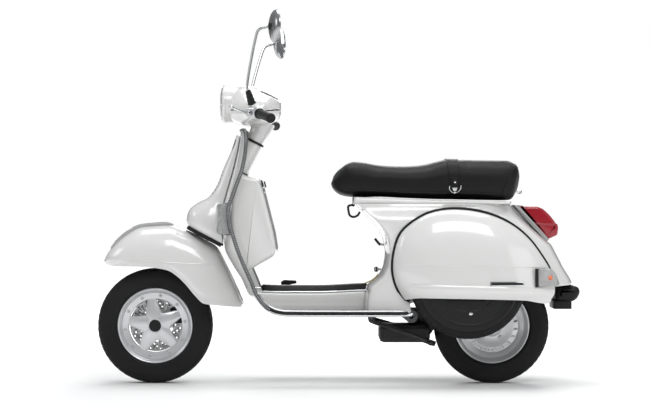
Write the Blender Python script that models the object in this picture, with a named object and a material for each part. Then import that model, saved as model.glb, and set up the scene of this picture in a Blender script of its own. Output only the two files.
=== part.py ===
"""Moped scooter with a pressed-steel body, single-sided front fork, swinging engine and side cowls.

Units are metres. -X is forward, +Z is up and the rider's left is -Y. The origin is on the ground,
at the middle of the scooter's length. Every object is one separate piece of the real scooter.
"""

import math

import bmesh
import bpy
from mathutils import Matrix, Vector

# ---------------------------------------------------------------- driving dimensions
WHEEL_BASE = 1.258
FRONT_AXLE_X = -0.685
REAR_AXLE_X = FRONT_AXLE_X + WHEEL_BASE
TYRE_RADIUS = 0.2145
TYRE_HALF_WIDTH = 0.0455
RIM_LIP_RADIUS = 0.1395
RAKE = math.radians(27.5)
STEER_TOP = Vector((-0.316, 0.0, 0.900))
BODY_HALF_WIDTH = 0.168
LEG_HALF_WIDTH = 0.236
SHEET = 0.003
GAP = 0.0006
RING_SIDES = 28

FRONT_AXLE = Vector((FRONT_AXLE_X, 0.0, TYRE_RADIUS))
REAR_AXLE = Vector((REAR_AXLE_X, 0.0, TYRE_RADIUS))
LINK_PIVOT = FRONT_AXLE + Vector((-0.077, 0.0, -0.006))
ENGINE_PIVOT = Vector((0.270, 0.0, 0.252))
STEER_DOWN = Vector((-math.sin(RAKE), 0.0, -math.cos(RAKE)))
STEER_BACK = Vector((math.cos(RAKE), 0.0, -math.sin(RAKE)))
X_AXIS, Y_AXIS, Z_AXIS = Vector((1, 0, 0)), Vector((0, 1, 0)), Vector((0, 0, 1))


def steer_point(down, back=0.0, side=0.0):
    """A point by its distance down the steering axis, behind it and to the rider's right of it."""
    return STEER_TOP + STEER_DOWN * down + STEER_BACK * back + Y_AXIS * side


# ---------------------------------------------------------------- materials
def make_material(name, colour, roughness, metallic=0.0):
    material = bpy.data.materials.new(name)
    material.use_nodes = True
    shader = material.node_tree.nodes["Principled BSDF"]
    shader.inputs["Base Color"].default_value = (*colour, 1.0)
    shader.inputs["Roughness"].default_value = roughness
    shader.inputs["Metallic"].default_value = metallic
    return material


def clear_scene():
    for thing in list(bpy.data.objects):
        bpy.data.objects.remove(thing, do_unlink=True)


clear_scene()
PAINT = make_material("white_paint", (0.80, 0.80, 0.78), 0.25)
CHROME = make_material("chrome", (0.80, 0.80, 0.80), 0.12, 1.0)
ALLOY = make_material("cast_alloy", (0.62, 0.63, 0.64), 0.35, 1.0)
STEEL = make_material("steel", (0.50, 0.50, 0.50), 0.40, 1.0)
RUBBER = make_material("black_rubber", (0.03, 0.03, 0.03), 0.75)
PLASTIC = make_material("black_plastic", (0.04, 0.04, 0.04), 0.50)
LEATHER = make_material("seat_cover", (0.03, 0.03, 0.03), 0.45)
RED_LENS = make_material("red_lens", (0.60, 0.01, 0.03), 0.15)
CLEAR_LENS = make_material("clear_lens", (0.75, 0.77, 0.78), 0.10)
GLASS = make_material("mirror_glass", (0.80, 0.82, 0.84), 0.05, 1.0)
ENGINE_GREY = make_material("engine_metal", (0.20, 0.20, 0.21), 0.55, 0.6)
EXHAUST_BLACK = make_material("exhaust_black", (0.05, 0.05, 0.05), 0.60)


# ---------------------------------------------------------------- modelling helpers
def add_mesh(name, verts, faces, material, smooth=40.0, closed=True):
    mesh = bpy.data.meshes.new(name)
    mesh.from_pydata([tuple(v) for v in verts], [], faces)
    if closed:
        shape = bmesh.new()
        shape.from_mesh(mesh)
        bmesh.ops.recalc_face_normals(shape, faces=shape.faces)
        shape.to_mesh(mesh)
        shape.free()
    mesh.shade_smooth()
    mesh.set_sharp_from_angle(angle=math.radians(smooth))
    mesh.materials.append(material)
    thing = bpy.data.objects.new(name, mesh)
    bpy.context.scene.collection.objects.link(thing)
    return thing


def loft(name, rings, material, closed=False, smooth=40.0):
    """A solid through rings of equal point counts: with end caps, or closed into a loop."""
    count = len(rings[0])
    verts = [p for ring in rings for p in ring]
    faces = []
    steps = len(rings) if closed else len(rings) - 1
    for i in range(steps):
        j = (i + 1) % len(rings)
        for k in range(count):
            m = (k + 1) % count
            faces.append((i * count + k, i * count + m, j * count + m, j * count + k))
    if not closed:
        faces.append(tuple(range(count)))
        faces.append(tuple((len(rings) - 1) * count + k for k in range(count)))
    return add_mesh(name, verts, faces, material, smooth)


def sheet(name, rows, thickness, material, outside, ring=False):
    """A pressed sheet. The rows lie on its outer face, and a Solidify modifier adds the rest.

    outside points away from that face at the middle of the first row. A ring joins up each row.
    """
    width = len(rows[0])
    verts = [p for row in rows for p in row]
    faces = []
    for i in range(len(rows) - 1):
        for k in range(width if ring else width - 1):
            m = (k + 1) % width
            faces.append((i * width + k, i * width + m, (i + 1) * width + m, (i + 1) * width + k))
    a, b, _, d = [verts[k] for k in faces[0 if ring else (width - 1) // 2]]
    if (b - a).cross(d - a).dot(outside) < 0:
        faces = [tuple(reversed(face)) for face in faces]
    thing = add_mesh(name, verts, faces, material, closed=False)
    solidify = thing.modifiers.new("thickness", "SOLIDIFY")
    solidify.thickness = thickness
    solidify.offset = -1.0
    return thing


def slab(name, rows, backs, material, bevel):
    """A thick cover between two grids of points, with rounded edges."""
    width = len(rows[0])
    count = len(rows) * width
    verts = [p for row in rows for p in row] + [p for row in backs for p in row]
    faces = []
    for i in range(len(rows) - 1):
        for k in range(width - 1):
            a = i * width + k
            face = (a, a + 1, a + width + 1, a + width)
            faces.append(face)
            faces.append(tuple(count + v for v in reversed(face)))
    border = list(range(width))
    border += [i * width + width - 1 for i in range(1, len(rows))]
    border += [(len(rows) - 1) * width + k for k in range(width - 2, -1, -1)]
    border += [i * width for i in range(len(rows) - 2, 0, -1)]
    for k, a in enumerate(border):
        b = border[(k + 1) % len(border)]
        faces.append((a, b, count + b, count + a))
    thing = add_mesh(name, verts, faces, material)
    rounding = thing.modifiers.new("rounding", "BEVEL")
    rounding.width = bevel
    rounding.segments = 2
    rounding.limit_method = "ANGLE"
    rounding.angle_limit = math.radians(50)
    return thing


def turned(name, profile, centre, axis, material, sides=RING_SIDES, start=0.0):
    """A solid of revolution. The profile is a closed outline of (radius, distance along axis)."""
    axis = axis.normalized()
    first = axis.orthogonal().normalized()
    second = axis.cross(first)
    rings = []
    for i in range(sides):
        angle = start + 2 * math.pi * i / sides
        spoke = first * math.cos(angle) + second * math.sin(angle)
        rings.append([centre + spoke * r + axis * a for r, a in profile])
    return loft(name, rings, material, closed=True)


def rod(name, start, end, radius, material, end_radius=None, sides=16):
    """A round bar or cone between two points."""
    end_radius = radius if end_radius is None else end_radius
    axis = (end - start).normalized()
    first = axis.orthogonal().normalized()
    second = axis.cross(first)
    rings = []
    for centre, r in ((start, radius), (end, end_radius)):
        ring = []
        for i in range(sides):
            angle = 2 * math.pi * i / sides
            ring.append(centre + first * (r * math.cos(angle)) + second * (r * math.sin(angle)))
        rings.append(ring)
    return loft(name, rings, material)


def smooth_path(points, steps):
    """Points along a Catmull-Rom curve through the given points."""
    ends = [points[0] * 2 - points[1]] + list(points) + [points[-1] * 2 - points[-2]]
    path = []
    for i in range(1, len(ends) - 2):
        p0, p1, p2, p3 = ends[i - 1], ends[i], ends[i + 1], ends[i + 2]
        for k in range(steps):
            t = k / steps
            path.append(
                0.5 * (2 * p1 + (p2 - p0) * t + (2 * p0 - 5 * p1 + 4 * p2 - p3) * t * t
                       + (3 * p1 - p0 - 3 * p2 + p3) * t * t * t)
            )
    path.append(points[-1].copy())
    return path


def swept_tube(name, path, radius, material, sides=10):
    """A round tube along a path. The radius may be one number or one for each point."""
    radii = radius if isinstance(radius, (list, tuple)) else [radius] * len(path)
    side = (path[1] - path[0]).orthogonal().normalized()
    rings = []
    for i, point in enumerate(path):
        before, after = path[max(i - 1, 0)], path[min(i + 1, len(path) - 1)]
        along = (after - before).normalized()
        side = (side - along * side.dot(along)).normalized()
        across = along.cross(side)
        ring = []
        for k in range(sides):
            angle = 2 * math.pi * k / sides
            ring.append(point + (side * math.cos(angle) + across * math.sin(angle)) * radii[i])
        rings.append(ring)
    return loft(name, rings, material)


def prism(name, outline, low_y, high_y, material):
    """An outline of (x, z) points extruded across the scooter."""
    rings = [[Vector((x, y, z)) for x, z in outline] for y in (low_y, high_y)]
    return loft(name, rings, material)


def block(name, low, high, material, bevel=0.0, segments=2):
    """A box from its lowest to its highest corner, with rounded edges."""
    outline = [(low[0], low[2]), (high[0], low[2]), (high[0], high[2]), (low[0], high[2])]
    thing = prism(name, outline, low[1], high[1], material)
    if bevel:
        rounding = thing.modifiers.new("rounding", "BEVEL")
        rounding.width = bevel
        rounding.segments = segments
    return thing


def ball(name, centre, radius, material):
    steps = 7
    outline = []
    for i in range(1, steps):
        angle = math.pi * i / steps
        outline.append((radius * math.sin(angle), -radius * math.cos(angle)))
    rings = []
    for r, a in outline:
        ring = []
        for k in range(12):
            turn = 2 * math.pi * k / 12
            ring.append(centre + Vector((r * math.cos(turn), r * math.sin(turn), a)))
        rings.append(ring)
    return loft(name, rings, material)


def hide_helper(thing):
    thing.hide_render = True
    thing.display_type = "WIRE"


def boolean(target, others, operation):
    for other in others:
        step = target.modifiers.new(operation.lower(), "BOOLEAN")
        step.operation = operation
        step.solver = "EXACT"
        step.object = other
        hide_helper(other)
    return target


def join(target, *others):
    return boolean(target, others, "UNION")


def cut(target, *cutters):
    return boolean(target, cutters, "DIFFERENCE")


def mirror_y(point):
    return Vector((point.x, -point.y, point.z))


def between(value, low, high):
    """0 below low, 1 above high and a smooth rise in between."""
    t = min(max((value - low) / (high - low), 0.0), 1.0)
    return t * t * (3 - 2 * t)


def along_curve(table, value):
    """Linear interpolation in a list of (key, numbers...) rows with rising keys."""
    if value <= table[0][0]:
        return table[0][1:]
    for low, high in zip(table, table[1:]):
        if value <= high[0]:
            t = (value - low[0]) / (high[0] - low[0])
            return tuple(a + (b - a) * t for a, b in zip(low[1:], high[1:]))
    return table[-1][1:]


def lathe(name, profile, centre, axis, material, sides=20):
    """A round solid through circles given as (radius, distance along the axis), with flat ends."""
    axis = axis.normalized()
    first = axis.orthogonal().normalized()
    second = axis.cross(first)
    rings = []
    for r, a in profile:
        ring = []
        for i in range(sides):
            angle = 2 * math.pi * i / sides
            spoke = first * math.cos(angle) + second * math.sin(angle)
            ring.append(centre + axis * a + spoke * r)
        rings.append(ring)
    return loft(name, rings, material)


# ---------------------------------------------------------------- front sheet metal
# height, centre line X, edge X, half width
LEG_TABLE = [
    (0.2710, -0.2560, -0.2260, 0.234),
    (0.2900, -0.2960, -0.2610, 0.235),
    (0.3050, -0.3120, -0.2750, 0.235),
    (0.3360, -0.3410, -0.2980, 0.236),
    (0.3860, -0.3640, -0.3190, 0.236),
    (0.4400, -0.3970, -0.3430, 0.236),
    (0.5040, -0.4280, -0.3690, 0.236),
    (0.5500, -0.4360, -0.3840, 0.236),
    (0.6000, -0.4390, -0.3970, 0.236),
    (0.6500, -0.4330, -0.4010, 0.235),
    (0.7000, -0.4200, -0.3860, 0.233),
    (0.7500, -0.4060, -0.3680, 0.230),
    (0.8000, -0.3920, -0.3510, 0.225),
    (0.8500, -0.3800, -0.3420, 0.214),
    (0.8900, -0.3720, -0.3390, 0.196),
    (0.9150, -0.3680, -0.3400, 0.172),
    (0.9300, -0.3660, -0.3430, 0.140),
]
LEG_COLUMNS = 9


def leg_x(y, z):
    """The X of the legshield's front face at one place."""
    centre, edge, half = along_curve(LEG_TABLE, z)
    return centre + (edge - centre) * (abs(y) / half) ** 2


def leg_row(z, lift=0.0):
    half = along_curve(LEG_TABLE, z)[2]
    row = []
    for k in range(LEG_COLUMNS):
        y = half * (2 * k / (LEG_COLUMNS - 1) - 1)
        row.append(Vector((leg_x(y, z) - lift, y, z)))
    return row


STEER_TUBE_RADIUS = 0.030
steer_tube_cutter = rod(
    "steer_tube_cutter", steer_point(-0.03), steer_point(0.45), STEER_TUBE_RADIUS + GAP, STEEL, sides=24
)
legshield = sheet("legshield", [leg_row(row[0]) for row in LEG_TABLE], SHEET, PAINT, -X_AXIS)
cut(legshield, steer_tube_cutter)

turned(
    "steering_head",
    [(STEER_TUBE_RADIUS, 0.035), (STEER_TUBE_RADIUS, 0.386), (0.0215, 0.386), (0.0215, 0.035)],
    STEER_TOP, STEER_DOWN, STEEL, sides=24,
)

# distance down the steering axis, forward reach, half width
HORN_TABLE = [
    (0.005, 0.068, 0.034),
    (0.060, 0.059, 0.042),
    (0.136, 0.054, 0.048),
    (0.210, 0.046, 0.052),
    (0.260, 0.053, 0.060),
    (0.300, 0.080, 0.076),
    (0.340, 0.096, 0.086),
    (0.372, 0.088, 0.086),
    (0.387, 0.077, 0.080),
]


def horn_row(down, reach, half):
    """One row of the steering head cover, from the legshield round the front and back to it."""
    row = []
    for k in range(13):
        angle = math.pi * (k / 12 - 0.5)
        y = half * math.copysign(abs(math.sin(angle)) ** 0.8, angle)
        back = 0.0
        for _ in range(12):
            point = steer_point(down, back, y)
            back += (leg_x(y, point.z) - 0.0072 - point.x) * 0.9
        seam = back
        back = seam + (-reach - seam) * max(math.cos(angle), 0.0) ** 0.7
        row.append(steer_point(down, back, y))
    return row


sheet("horn_cover", [horn_row(*row) for row in HORN_TABLE], SHEET, PAINT, -X_AXIS)


def trim_path():
    """The edging that runs up the left of the legshield, over its top and down the right."""
    edges = [Vector((edge, -half, z)) for z, _, edge, half in LEG_TABLE]
    edges.append(Vector((-0.3560, -0.070, 0.9310)))
    left = [Vector((-0.146, -0.2425, 0.2645)), Vector((-0.190, -0.2425, 0.2650))]
    for before, here, after in zip(edges, edges[1:], edges[2:]):
        along = (after - before).normalized()
        outward = Vector((0.0, -along.z, along.y)).normalized()
        left.append(here + outward * 0.0085 + X_AXIS * 0.001)
    left.append(Vector((-0.3560, -0.070, 0.9400)))
    path = left + [Vector((-0.3630, 0.0, 0.9400))]
    path += [mirror_y(p) for p in reversed(left)]
    return path


swept_tube("legshield_trim", trim_path(), 0.006, CHROME, sides=6)


def floor_sheet():
    rows = []
    stations = 3
    for i in range(stations):
        t = i / (stations - 1)
        row = []
        for k in range(LEG_COLUMNS):
            y = 0.234 * (2 * k / (LEG_COLUMNS - 1) - 1)
            front = leg_x(y, 0.271) + 0.004
            rear = 0.262 - 0.10 * (1 - abs(y) / 0.234)
            row.append(Vector((front + (rear - front) * t, y, 0.2710)))
        rows.append(row)
    return sheet("floorboard", rows, 0.004, PAINT, Z_AXIS)


floorboard = floor_sheet()

# height, front face X of the rear body
BODY_FRONT = [
    (0.2720, 0.0950), (0.3300, 0.0980), (0.3605, 0.1055), (0.3808, 0.1257), (0.4051, 0.1521),
    (0.4456, 0.1703), (0.4861, 0.1756), (0.5266, 0.1703), (0.5711, 0.1541), (0.6076, 0.1257),
    (0.6400, 0.0933), (0.6680, 0.0650),
]
TUNNEL_HALF = 0.066


def tunnel_row(t, shrink=0.0, lift=0.0):
    """One row across the tunnel, from its left foot over the top to its right foot."""
    row = []
    top = 0.360 + 0.008 * between(t, 0.6, 1.0) - 0.004 * between(t, 0.0, 0.3)
    for k in range(13):
        angle = math.pi * (k / 12)
        y = -(TUNNEL_HALF - shrink) * math.copysign(abs(math.cos(angle)) ** 0.55, math.cos(angle))
        z = 0.2720 + (top - 0.2720) * math.sin(angle) ** 0.45 + lift
        front = leg_x(y, max(z, 0.273)) + 0.0090
        rear = along_curve(BODY_FRONT, z)[0] - 0.0045
        row.append(Vector((front + (rear - front) * t, y, z)))
    return row


sheet("tunnel", [tunnel_row(i / 5) for i in range(6)], SHEET, PAINT, Z_AXIS)


def tunnel_mat():
    rings = []
    for i in range(6):
        t = 0.14 + 0.84 * i / 5
        upper = tunnel_row(t)[3:10]
        under = [p + Z_AXIS * 0.0014 for p in upper]
        over = [p + Z_AXIS * 0.0076 for p in reversed(upper)]
        rings.append(under + over)
    return loft("tunnel_mat", rings, RUBBER)


tunnel_mat()

# ---------------------------------------------------------------- glovebox
GLOVE_HALF = 0.164
glovebox = prism(
    "glovebox",
    [(-0.3700, 0.7770), (-0.3600, 0.7790), (-0.2930, 0.7600), (-0.2849, 0.7466), (-0.2389, 0.5626),
     (-0.2290, 0.5010), (-0.2359, 0.4798), (-0.3225, 0.4285), (-0.3450, 0.4235), (-0.3550, 0.4400),
     (-0.3740, 0.4850), (-0.3900, 0.5500), (-0.3960, 0.6200), (-0.3920, 0.6800), (-0.3800, 0.7350)],
    -GLOVE_HALF, GLOVE_HALF, PLASTIC,
)
glove_cavity = prism(
    "glove_cavity",
    [(-0.3360, 0.7420), (-0.3720, 0.6900), (-0.3880, 0.6000), (-0.3880, 0.5720), (-0.2000, 0.5720),
     (-0.2000, 0.7420)],
    -0.150, 0.150, PLASTIC,
)
glove_rounding = glovebox.modifiers.new("rounding", "BEVEL")
glove_rounding.width = 0.008
glove_rounding.segments = 2
glove_rounding.limit_method = "ANGLE"
glove_rounding.angle_limit = math.radians(50)
cut(glovebox, glove_cavity, steer_tube_cutter)
glove_door = prism(
    "glovebox_door",
    [(-0.2843, 0.7405), (-0.2880, 0.7405), (-0.2460, 0.5735), (-0.2423, 0.5735)],
    -0.149, 0.149, PAINT,
)

# ---------------------------------------------------------------- front indicators


def front_indicator(name, sign):
    rows, backs = [], []
    for z in (0.558, 0.600, 0.650, 0.668):
        row = []
        for k in range(4):
            y = sign * (0.158 + 0.066 * k / 3)
            row.append(Vector((leg_x(y, z) - 0.0024, y, z)))
        backs.append(row)
        rows.append([p - X_AXIS * 0.026 for p in row])
    return slab(name, rows, backs, CLEAR_LENS, 0.006)


front_indicator("front_indicator_left", -1)
front_indicator("front_indicator_right", 1)

# ---------------------------------------------------------------- rear body
BODY_REAR = [
    (0.2720, 0.8900), (0.3685, 0.8759), (0.4374, 0.8386), (0.4919, 0.8099), (0.5178, 0.7955),
    (0.5350, 0.7754), (0.6499, 0.6548), (0.6680, 0.6400),
]
COWL_FRONT = [
    (0.2720, 0.2520), (0.3170, 0.2432), (0.3357, 0.2283), (0.3805, 0.2059), (0.4403, 0.1962),
    (0.5075, 0.2059), (0.5598, 0.2246), (0.5971, 0.2619), (0.6345, 0.3217), (0.6480, 0.3815),
    (0.6509, 0.4263),
]
COWL_REAR = [
    (0.2720, 0.7700), (0.3217, 0.7749), (0.3589, 0.7935), (0.4417, 0.7685), (0.4851, 0.7401),
    (0.5374, 0.7027), (0.5897, 0.6430), (0.6270, 0.5682), (0.6457, 0.4935), (0.6509, 0.4263),
]
BODY_TOP = 0.668
RECESS = 0.100
BODY_ROWS = 9


def body_side(t):
    """Half of one horizontal row of the rear body, from the front middle to the tail middle."""
    floors = [0.2722, 0.2722, 0.2722, 0.2722, 0.2722, 0.2722, 0.300, 0.340, 0.365, 0.365, 0.365,
              0.365, 0.368, 0.371, 0.372, 0.372]
    points = []
    for k, floor in enumerate(floors):
        z = floor + (BODY_TOP - floor) * t
        front = along_curve(BODY_FRONT, z)[0]
        rear = along_curve(BODY_REAR, z)[0]
        seal_front = along_curve(COWL_FRONT, z)[0] + 0.014
        seal_rear = along_curve(COWL_REAR, z)[0] - 0.014
        wide = BODY_HALF_WIDTH - 0.028 * between(z, 0.60, 0.668)
        depth = between(seal_rear - seal_front, 0.0, 0.22)
        deep = wide - (wide - RECESS) * depth
        middle = (seal_front + seal_rear) / 2
        reach = max(seal_rear - seal_front, 0.08) / 2
        seal_front, seal_rear = middle - reach, middle + reach
        tail = max(rear - seal_rear, 0.03)
        spots = [
            (front, 0.0), (front + 0.001, 0.06), (front + 0.004, 0.115), (front + 0.012, wide - 0.010),
            (front + 0.026, wide), (seal_front, wide), (seal_front + 0.004, deep),
            (middle - reach / 2, deep), (middle, deep), (middle + reach / 2, deep),
            (seal_rear - 0.004, deep), (seal_rear, wide - 0.004),
            (seal_rear + tail * 0.35, wide * 0.92), (seal_rear + tail * 0.72, wide * 0.74),
            (rear - 0.008, wide * 0.44), (rear, 0.0),
        ]
        x, y = spots[k]
        points.append(Vector((x, y, z)))
    return points


def body_shell():
    rings = []
    for i in range(BODY_ROWS):
        half = body_side(i / (BODY_ROWS - 1))
        rings.append(half + [mirror_y(p) for p in reversed(half[1:-1])])
    return sheet("rear_body", rings, SHEET, PAINT, -X_AXIS, ring=True)


body_shell()

ARCH_RADIUS = 0.300
SHOCK_TOP = Vector((0.660, 0.073, 0.478))
SHOCK_LOW = Vector((0.640, 0.073, 0.285))


def wheel_arch():
    rings = []
    for i in range(17):
        angle = math.radians(158 - 118 * i / 16)
        out = Vector((math.cos(angle), 0.0, math.sin(angle)))
        inner = REAR_AXLE + out * ARCH_RADIUS
        outer = REAR_AXLE + out * (ARCH_RADIUS + SHEET)
        half = Y_AXIS * 0.0955
        rings.append([inner - half, inner + half, outer + half, outer - half])
    arch = loft("wheel_arch", rings, PAINT)
    lug = block("arch_lug", (0.646, 0.0855, 0.4685), (0.674, 0.0955, 0.5030), PAINT)
    pin = rod("arch_pin", SHOCK_TOP - Y_AXIS * 0.015, SHOCK_TOP + Y_AXIS * 0.018, 0.0055, STEEL)
    return join(arch, lug, pin)


wheel_arch()

tank = block("fuel_tank", (0.215, -0.0900, 0.5290), (0.520, 0.0900, 0.6560), PAINT, bevel=0.015)
neck_of_tank = rod("tank_neck", Vector((0.330, 0.0, 0.640)), Vector((0.330, 0.0, 0.667)), 0.028, STEEL,
                   sides=20)
join(tank, neck_of_tank)

# ---------------------------------------------------------------- seat
# station X, half width, bottom, top
SEAT_TABLE = [
    (-0.0330, 0.050, 0.7380, 0.7550),
    (-0.0250, 0.085, 0.7230, 0.7700),
    (0.0000, 0.108, 0.7060, 0.8000),
    (0.0400, 0.122, 0.6980, 0.8260),
    (0.0860, 0.130, 0.6960, 0.8235),
    (0.1600, 0.136, 0.6940, 0.8115),
    (0.2400, 0.140, 0.6900, 0.8080),
    (0.3150, 0.141, 0.6870, 0.8135),
    (0.3770, 0.141, 0.6850, 0.8289),
    (0.4100, 0.141, 0.6845, 0.8350),
    (0.4460, 0.140, 0.6840, 0.8327),
    (0.5400, 0.136, 0.6820, 0.8311),
    (0.6200, 0.126, 0.6810, 0.8300),
    (0.6600, 0.110, 0.6810, 0.8240),
    (0.6760, 0.085, 0.6960, 0.8080),
]


def seat_ring(x, half, low, high, grow=0.0):
    """The outline of the cushion at one station: straight sides with a domed top."""
    ring = []
    middle = (low + high) / 2
    for k in range(20):
        angle = 2 * math.pi * k / 20
        c, s = math.cos(angle), math.sin(angle)
        y = (half + grow) * math.copysign(abs(c) ** 0.55, c)
        z = middle + ((high - low) / 2 + grow) * math.copysign(abs(s) ** (0.75 if s > 0 else 0.35), s)
        ring.append(Vector((x, y, z)))
    return ring


loft("seat_cushion", [seat_ring(*row) for row in SEAT_TABLE], LEATHER)


# The pan starts behind the seat's hinge, at this extra row of the seat table.
PAN_FRONT = (0.0540, 0.1243, 0.6975, 0.8257)


def seat_pan():
    rings = []
    for x, wide, bottom, _ in [PAN_FRONT] + SEAT_TABLE[4:13]:
        half = wide * 0.86
        low = 0.6735
        high = bottom - 0.0012
        rings.append([Vector((x, -half, low)), Vector((x, half, low)), Vector((x, half, high)),
                      Vector((x, -half, high))])
    return loft("seat_pan", rings, STEEL)


seat_pan()


def seat_strap():
    """A flat strap over the cushion, ending in a buckle on each side."""
    rings = []
    stations = [(x, along_curve(SEAT_TABLE, x)) for x in (0.400, 0.410, 0.442)]
    inner = [seat_ring(x, *row, grow=0.0014) for x, row in stations]
    outer = [seat_ring(x, *row, grow=0.0042) for x, row in reversed(stations)]
    for k in [19] + list(range(0, 12)):
        rings.append([ring[k] for ring in inner + outer])
    return loft("seat_strap", rings, LEATHER)


seat_strap()

# ---------------------------------------------------------------- cowls
COWL_OUTLINE = [
    (0.7600, 0.3080), (0.7880, 0.3300), (0.7935, 0.3589), (0.7850, 0.4000), (0.7685, 0.4417),
    (0.7401, 0.4851), (0.7027, 0.5374), (0.6430, 0.5897), (0.5682, 0.6270), (0.4935, 0.6457),
    (0.4263, 0.6509), (0.3815, 0.6480), (0.3217, 0.6345), (0.2619, 0.5971), (0.2246, 0.5598),
    (0.2059, 0.5075), (0.1962, 0.4403), (0.2059, 0.3805), (0.2283, 0.3357), (0.2420, 0.3180),
]
COWL_CENTRE = (0.500, 0.3220)
COWL_REACH = 0.092
COWL_RINGS = (1.0, 0.975, 0.92, 0.82, 0.64, 0.40, 0.02)


def cowl_point(edge, scale, sign, lift=0.0):
    """A point of the cowl, between its bottom middle (scale 0) and its edge (scale 1)."""
    x = COWL_CENTRE[0] + (edge[0] - COWL_CENTRE[0]) * scale
    z = COWL_CENTRE[1] + (edge[1] - COWL_CENTRE[1]) * scale
    bulge = COWL_REACH * (1 - scale ** 2.6) ** 0.6
    tuck = 0.006 * (1 - between(z, 0.31, 0.42)) * (1 - scale ** 4)
    rear = 0.020 * between(x, 0.60, 0.80) * (1 - scale ** 3)
    y = BODY_HALF_WIDTH + 0.0012 + bulge - tuck - rear + lift
    return Vector((x, sign * y, z))


def cowl(name, sign):
    rows = []
    for scale in COWL_RINGS:
        rows.append([cowl_point(edge, scale, sign) for edge in COWL_OUTLINE])
    return sheet(name, rows, 0.0025, PAINT, Y_AXIS * sign)


cowl("left_cowl", -1)
cowl("right_cowl", 1)


def rear_indicator(name, sign):
    rows, backs = [], []
    for scale in (0.78, 0.84, 0.90, 0.94):
        back = [cowl_point(edge, scale, sign, 0.0040) for edge in COWL_OUTLINE[2:5]]
        backs.append(back)
        rows.append([p + Vector((0.006, sign * 0.014, 0.0)) for p in back])
    return slab(name, rows, backs, CLEAR_LENS, 0.004)


rear_indicator("rear_indicator_left", -1)
rear_indicator("rear_indicator_right", 1)

# ---------------------------------------------------------------- tail
lens = prism(
    "tail_light",
    [(0.6560, 0.6560), (0.6673, 0.6640), (0.7427, 0.6600), (0.7627, 0.6510), (0.7854, 0.6301),
     (0.8054, 0.6060), (0.8168, 0.5960), (0.8196, 0.5789), (0.8168, 0.5533), (0.7905, 0.5300),
     (0.7815, 0.5310)],
    -0.058, 0.058, RED_LENS,
)
lens_rounding = lens.modifiers.new("rounding", "BEVEL")
lens_rounding.width = 0.008
lens_rounding.segments = 2
lens_rounding.limit_method = "ANGLE"
lens_rounding.angle_limit = math.radians(50)
bumper = prism(
    "rear_bumper",
    [(0.8000, 0.2782), (0.8678, 0.2782), (0.8720, 0.3085), (0.8880, 0.3237), (0.8995, 0.3464),
     (0.8930, 0.3600), (0.8780, 0.3640), (0.8060, 0.3610)],
    -0.085, 0.085, RUBBER,
)
bumper_rounding = bumper.modifiers.new("rounding", "BEVEL")
bumper_rounding.width = 0.010
bumper_rounding.segments = 2
bumper_rounding.limit_method = "ANGLE"
bumper_rounding.angle_limit = math.radians(50)

# ---------------------------------------------------------------- wheels
TYRE_SIDES = 32
# the tread's facets are flat, so its corners stand out a little for the flats to be at full radius
TREAD_RADIUS = TYRE_RADIUS / math.cos(math.pi / TYRE_SIDES)
TYRE_OUTLINE = [
    (0.1405, -0.0330), (0.1540, -0.0430), (0.1800, -0.0455), (0.2000, -0.0410), (TREAD_RADIUS, -0.0280),
    (TREAD_RADIUS, 0.0280), (0.2000, 0.0410), (0.1800, 0.0455), (0.1540, 0.0430), (0.1405, 0.0330),
    (0.1405, 0.0240), (0.2040, 0.0240), (0.2040, -0.0240), (0.1405, -0.0240),
]
SPARE_CENTRE = Vector((0.473, -0.170, 0.390))
turned("front_tyre", TYRE_OUTLINE, FRONT_AXLE, Y_AXIS, RUBBER, TYRE_SIDES, math.pi / TYRE_SIDES)
turned("rear_tyre", TYRE_OUTLINE, REAR_AXLE, Y_AXIS, RUBBER, TYRE_SIDES, math.pi / TYRE_SIDES)
turned("spare_tyre", TYRE_OUTLINE[:10], SPARE_CENTRE, Y_AXIS, RUBBER, sides=28)
spare_cover = lathe("spare_cover", [(0.183, -0.0460), (0.183, -0.0500), (0.172, -0.0535)],
                    SPARE_CENTRE, Y_AXIS, PLASTIC, sides=28)


def spoke_point(centre, angle, radius, offset, depth):
    out = Vector((math.cos(angle), 0.0, math.sin(angle)))
    side = Vector((-math.sin(angle), 0.0, math.cos(angle)))
    return centre + out * radius + side * offset + Y_AXIS * depth


def front_rim():
    ring = turned(
        "front_rim",
        [(RIM_LIP_RADIUS, -0.034), (RIM_LIP_RADIUS, 0.034), (0.131, 0.034), (0.120, 0.008),
         (0.101, 0.004), (0.101, -0.016), (0.121, -0.020), (0.131, -0.034)],
        FRONT_AXLE, Y_AXIS, ALLOY,
    )
    hub = turned("rim_hub", [(0.032, -0.030), (0.032, 0.0215), (0.0125, 0.0215), (0.0125, -0.030)],
                 FRONT_AXLE, Y_AXIS, ALLOY, sides=24)
    spokes = []
    for i in range(5):
        angle = math.radians(26 + 72 * i)
        rings = []
        for radius, half, low, high in ((0.026, 0.015, -0.026, 0.002), (0.065, 0.016, -0.023, 0.002),
                                        (0.108, 0.024, -0.015, 0.003)):
            rings.append([
                spoke_point(FRONT_AXLE, angle, radius, -half, low),
                spoke_point(FRONT_AXLE, angle, radius, half, low),
                spoke_point(FRONT_AXLE, angle, radius, half, high),
                spoke_point(FRONT_AXLE, angle, radius, -half, high),
            ])
        spokes.append(loft(f"spoke_{i}", rings, ALLOY))
    return join(ring, hub, *spokes)


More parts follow.
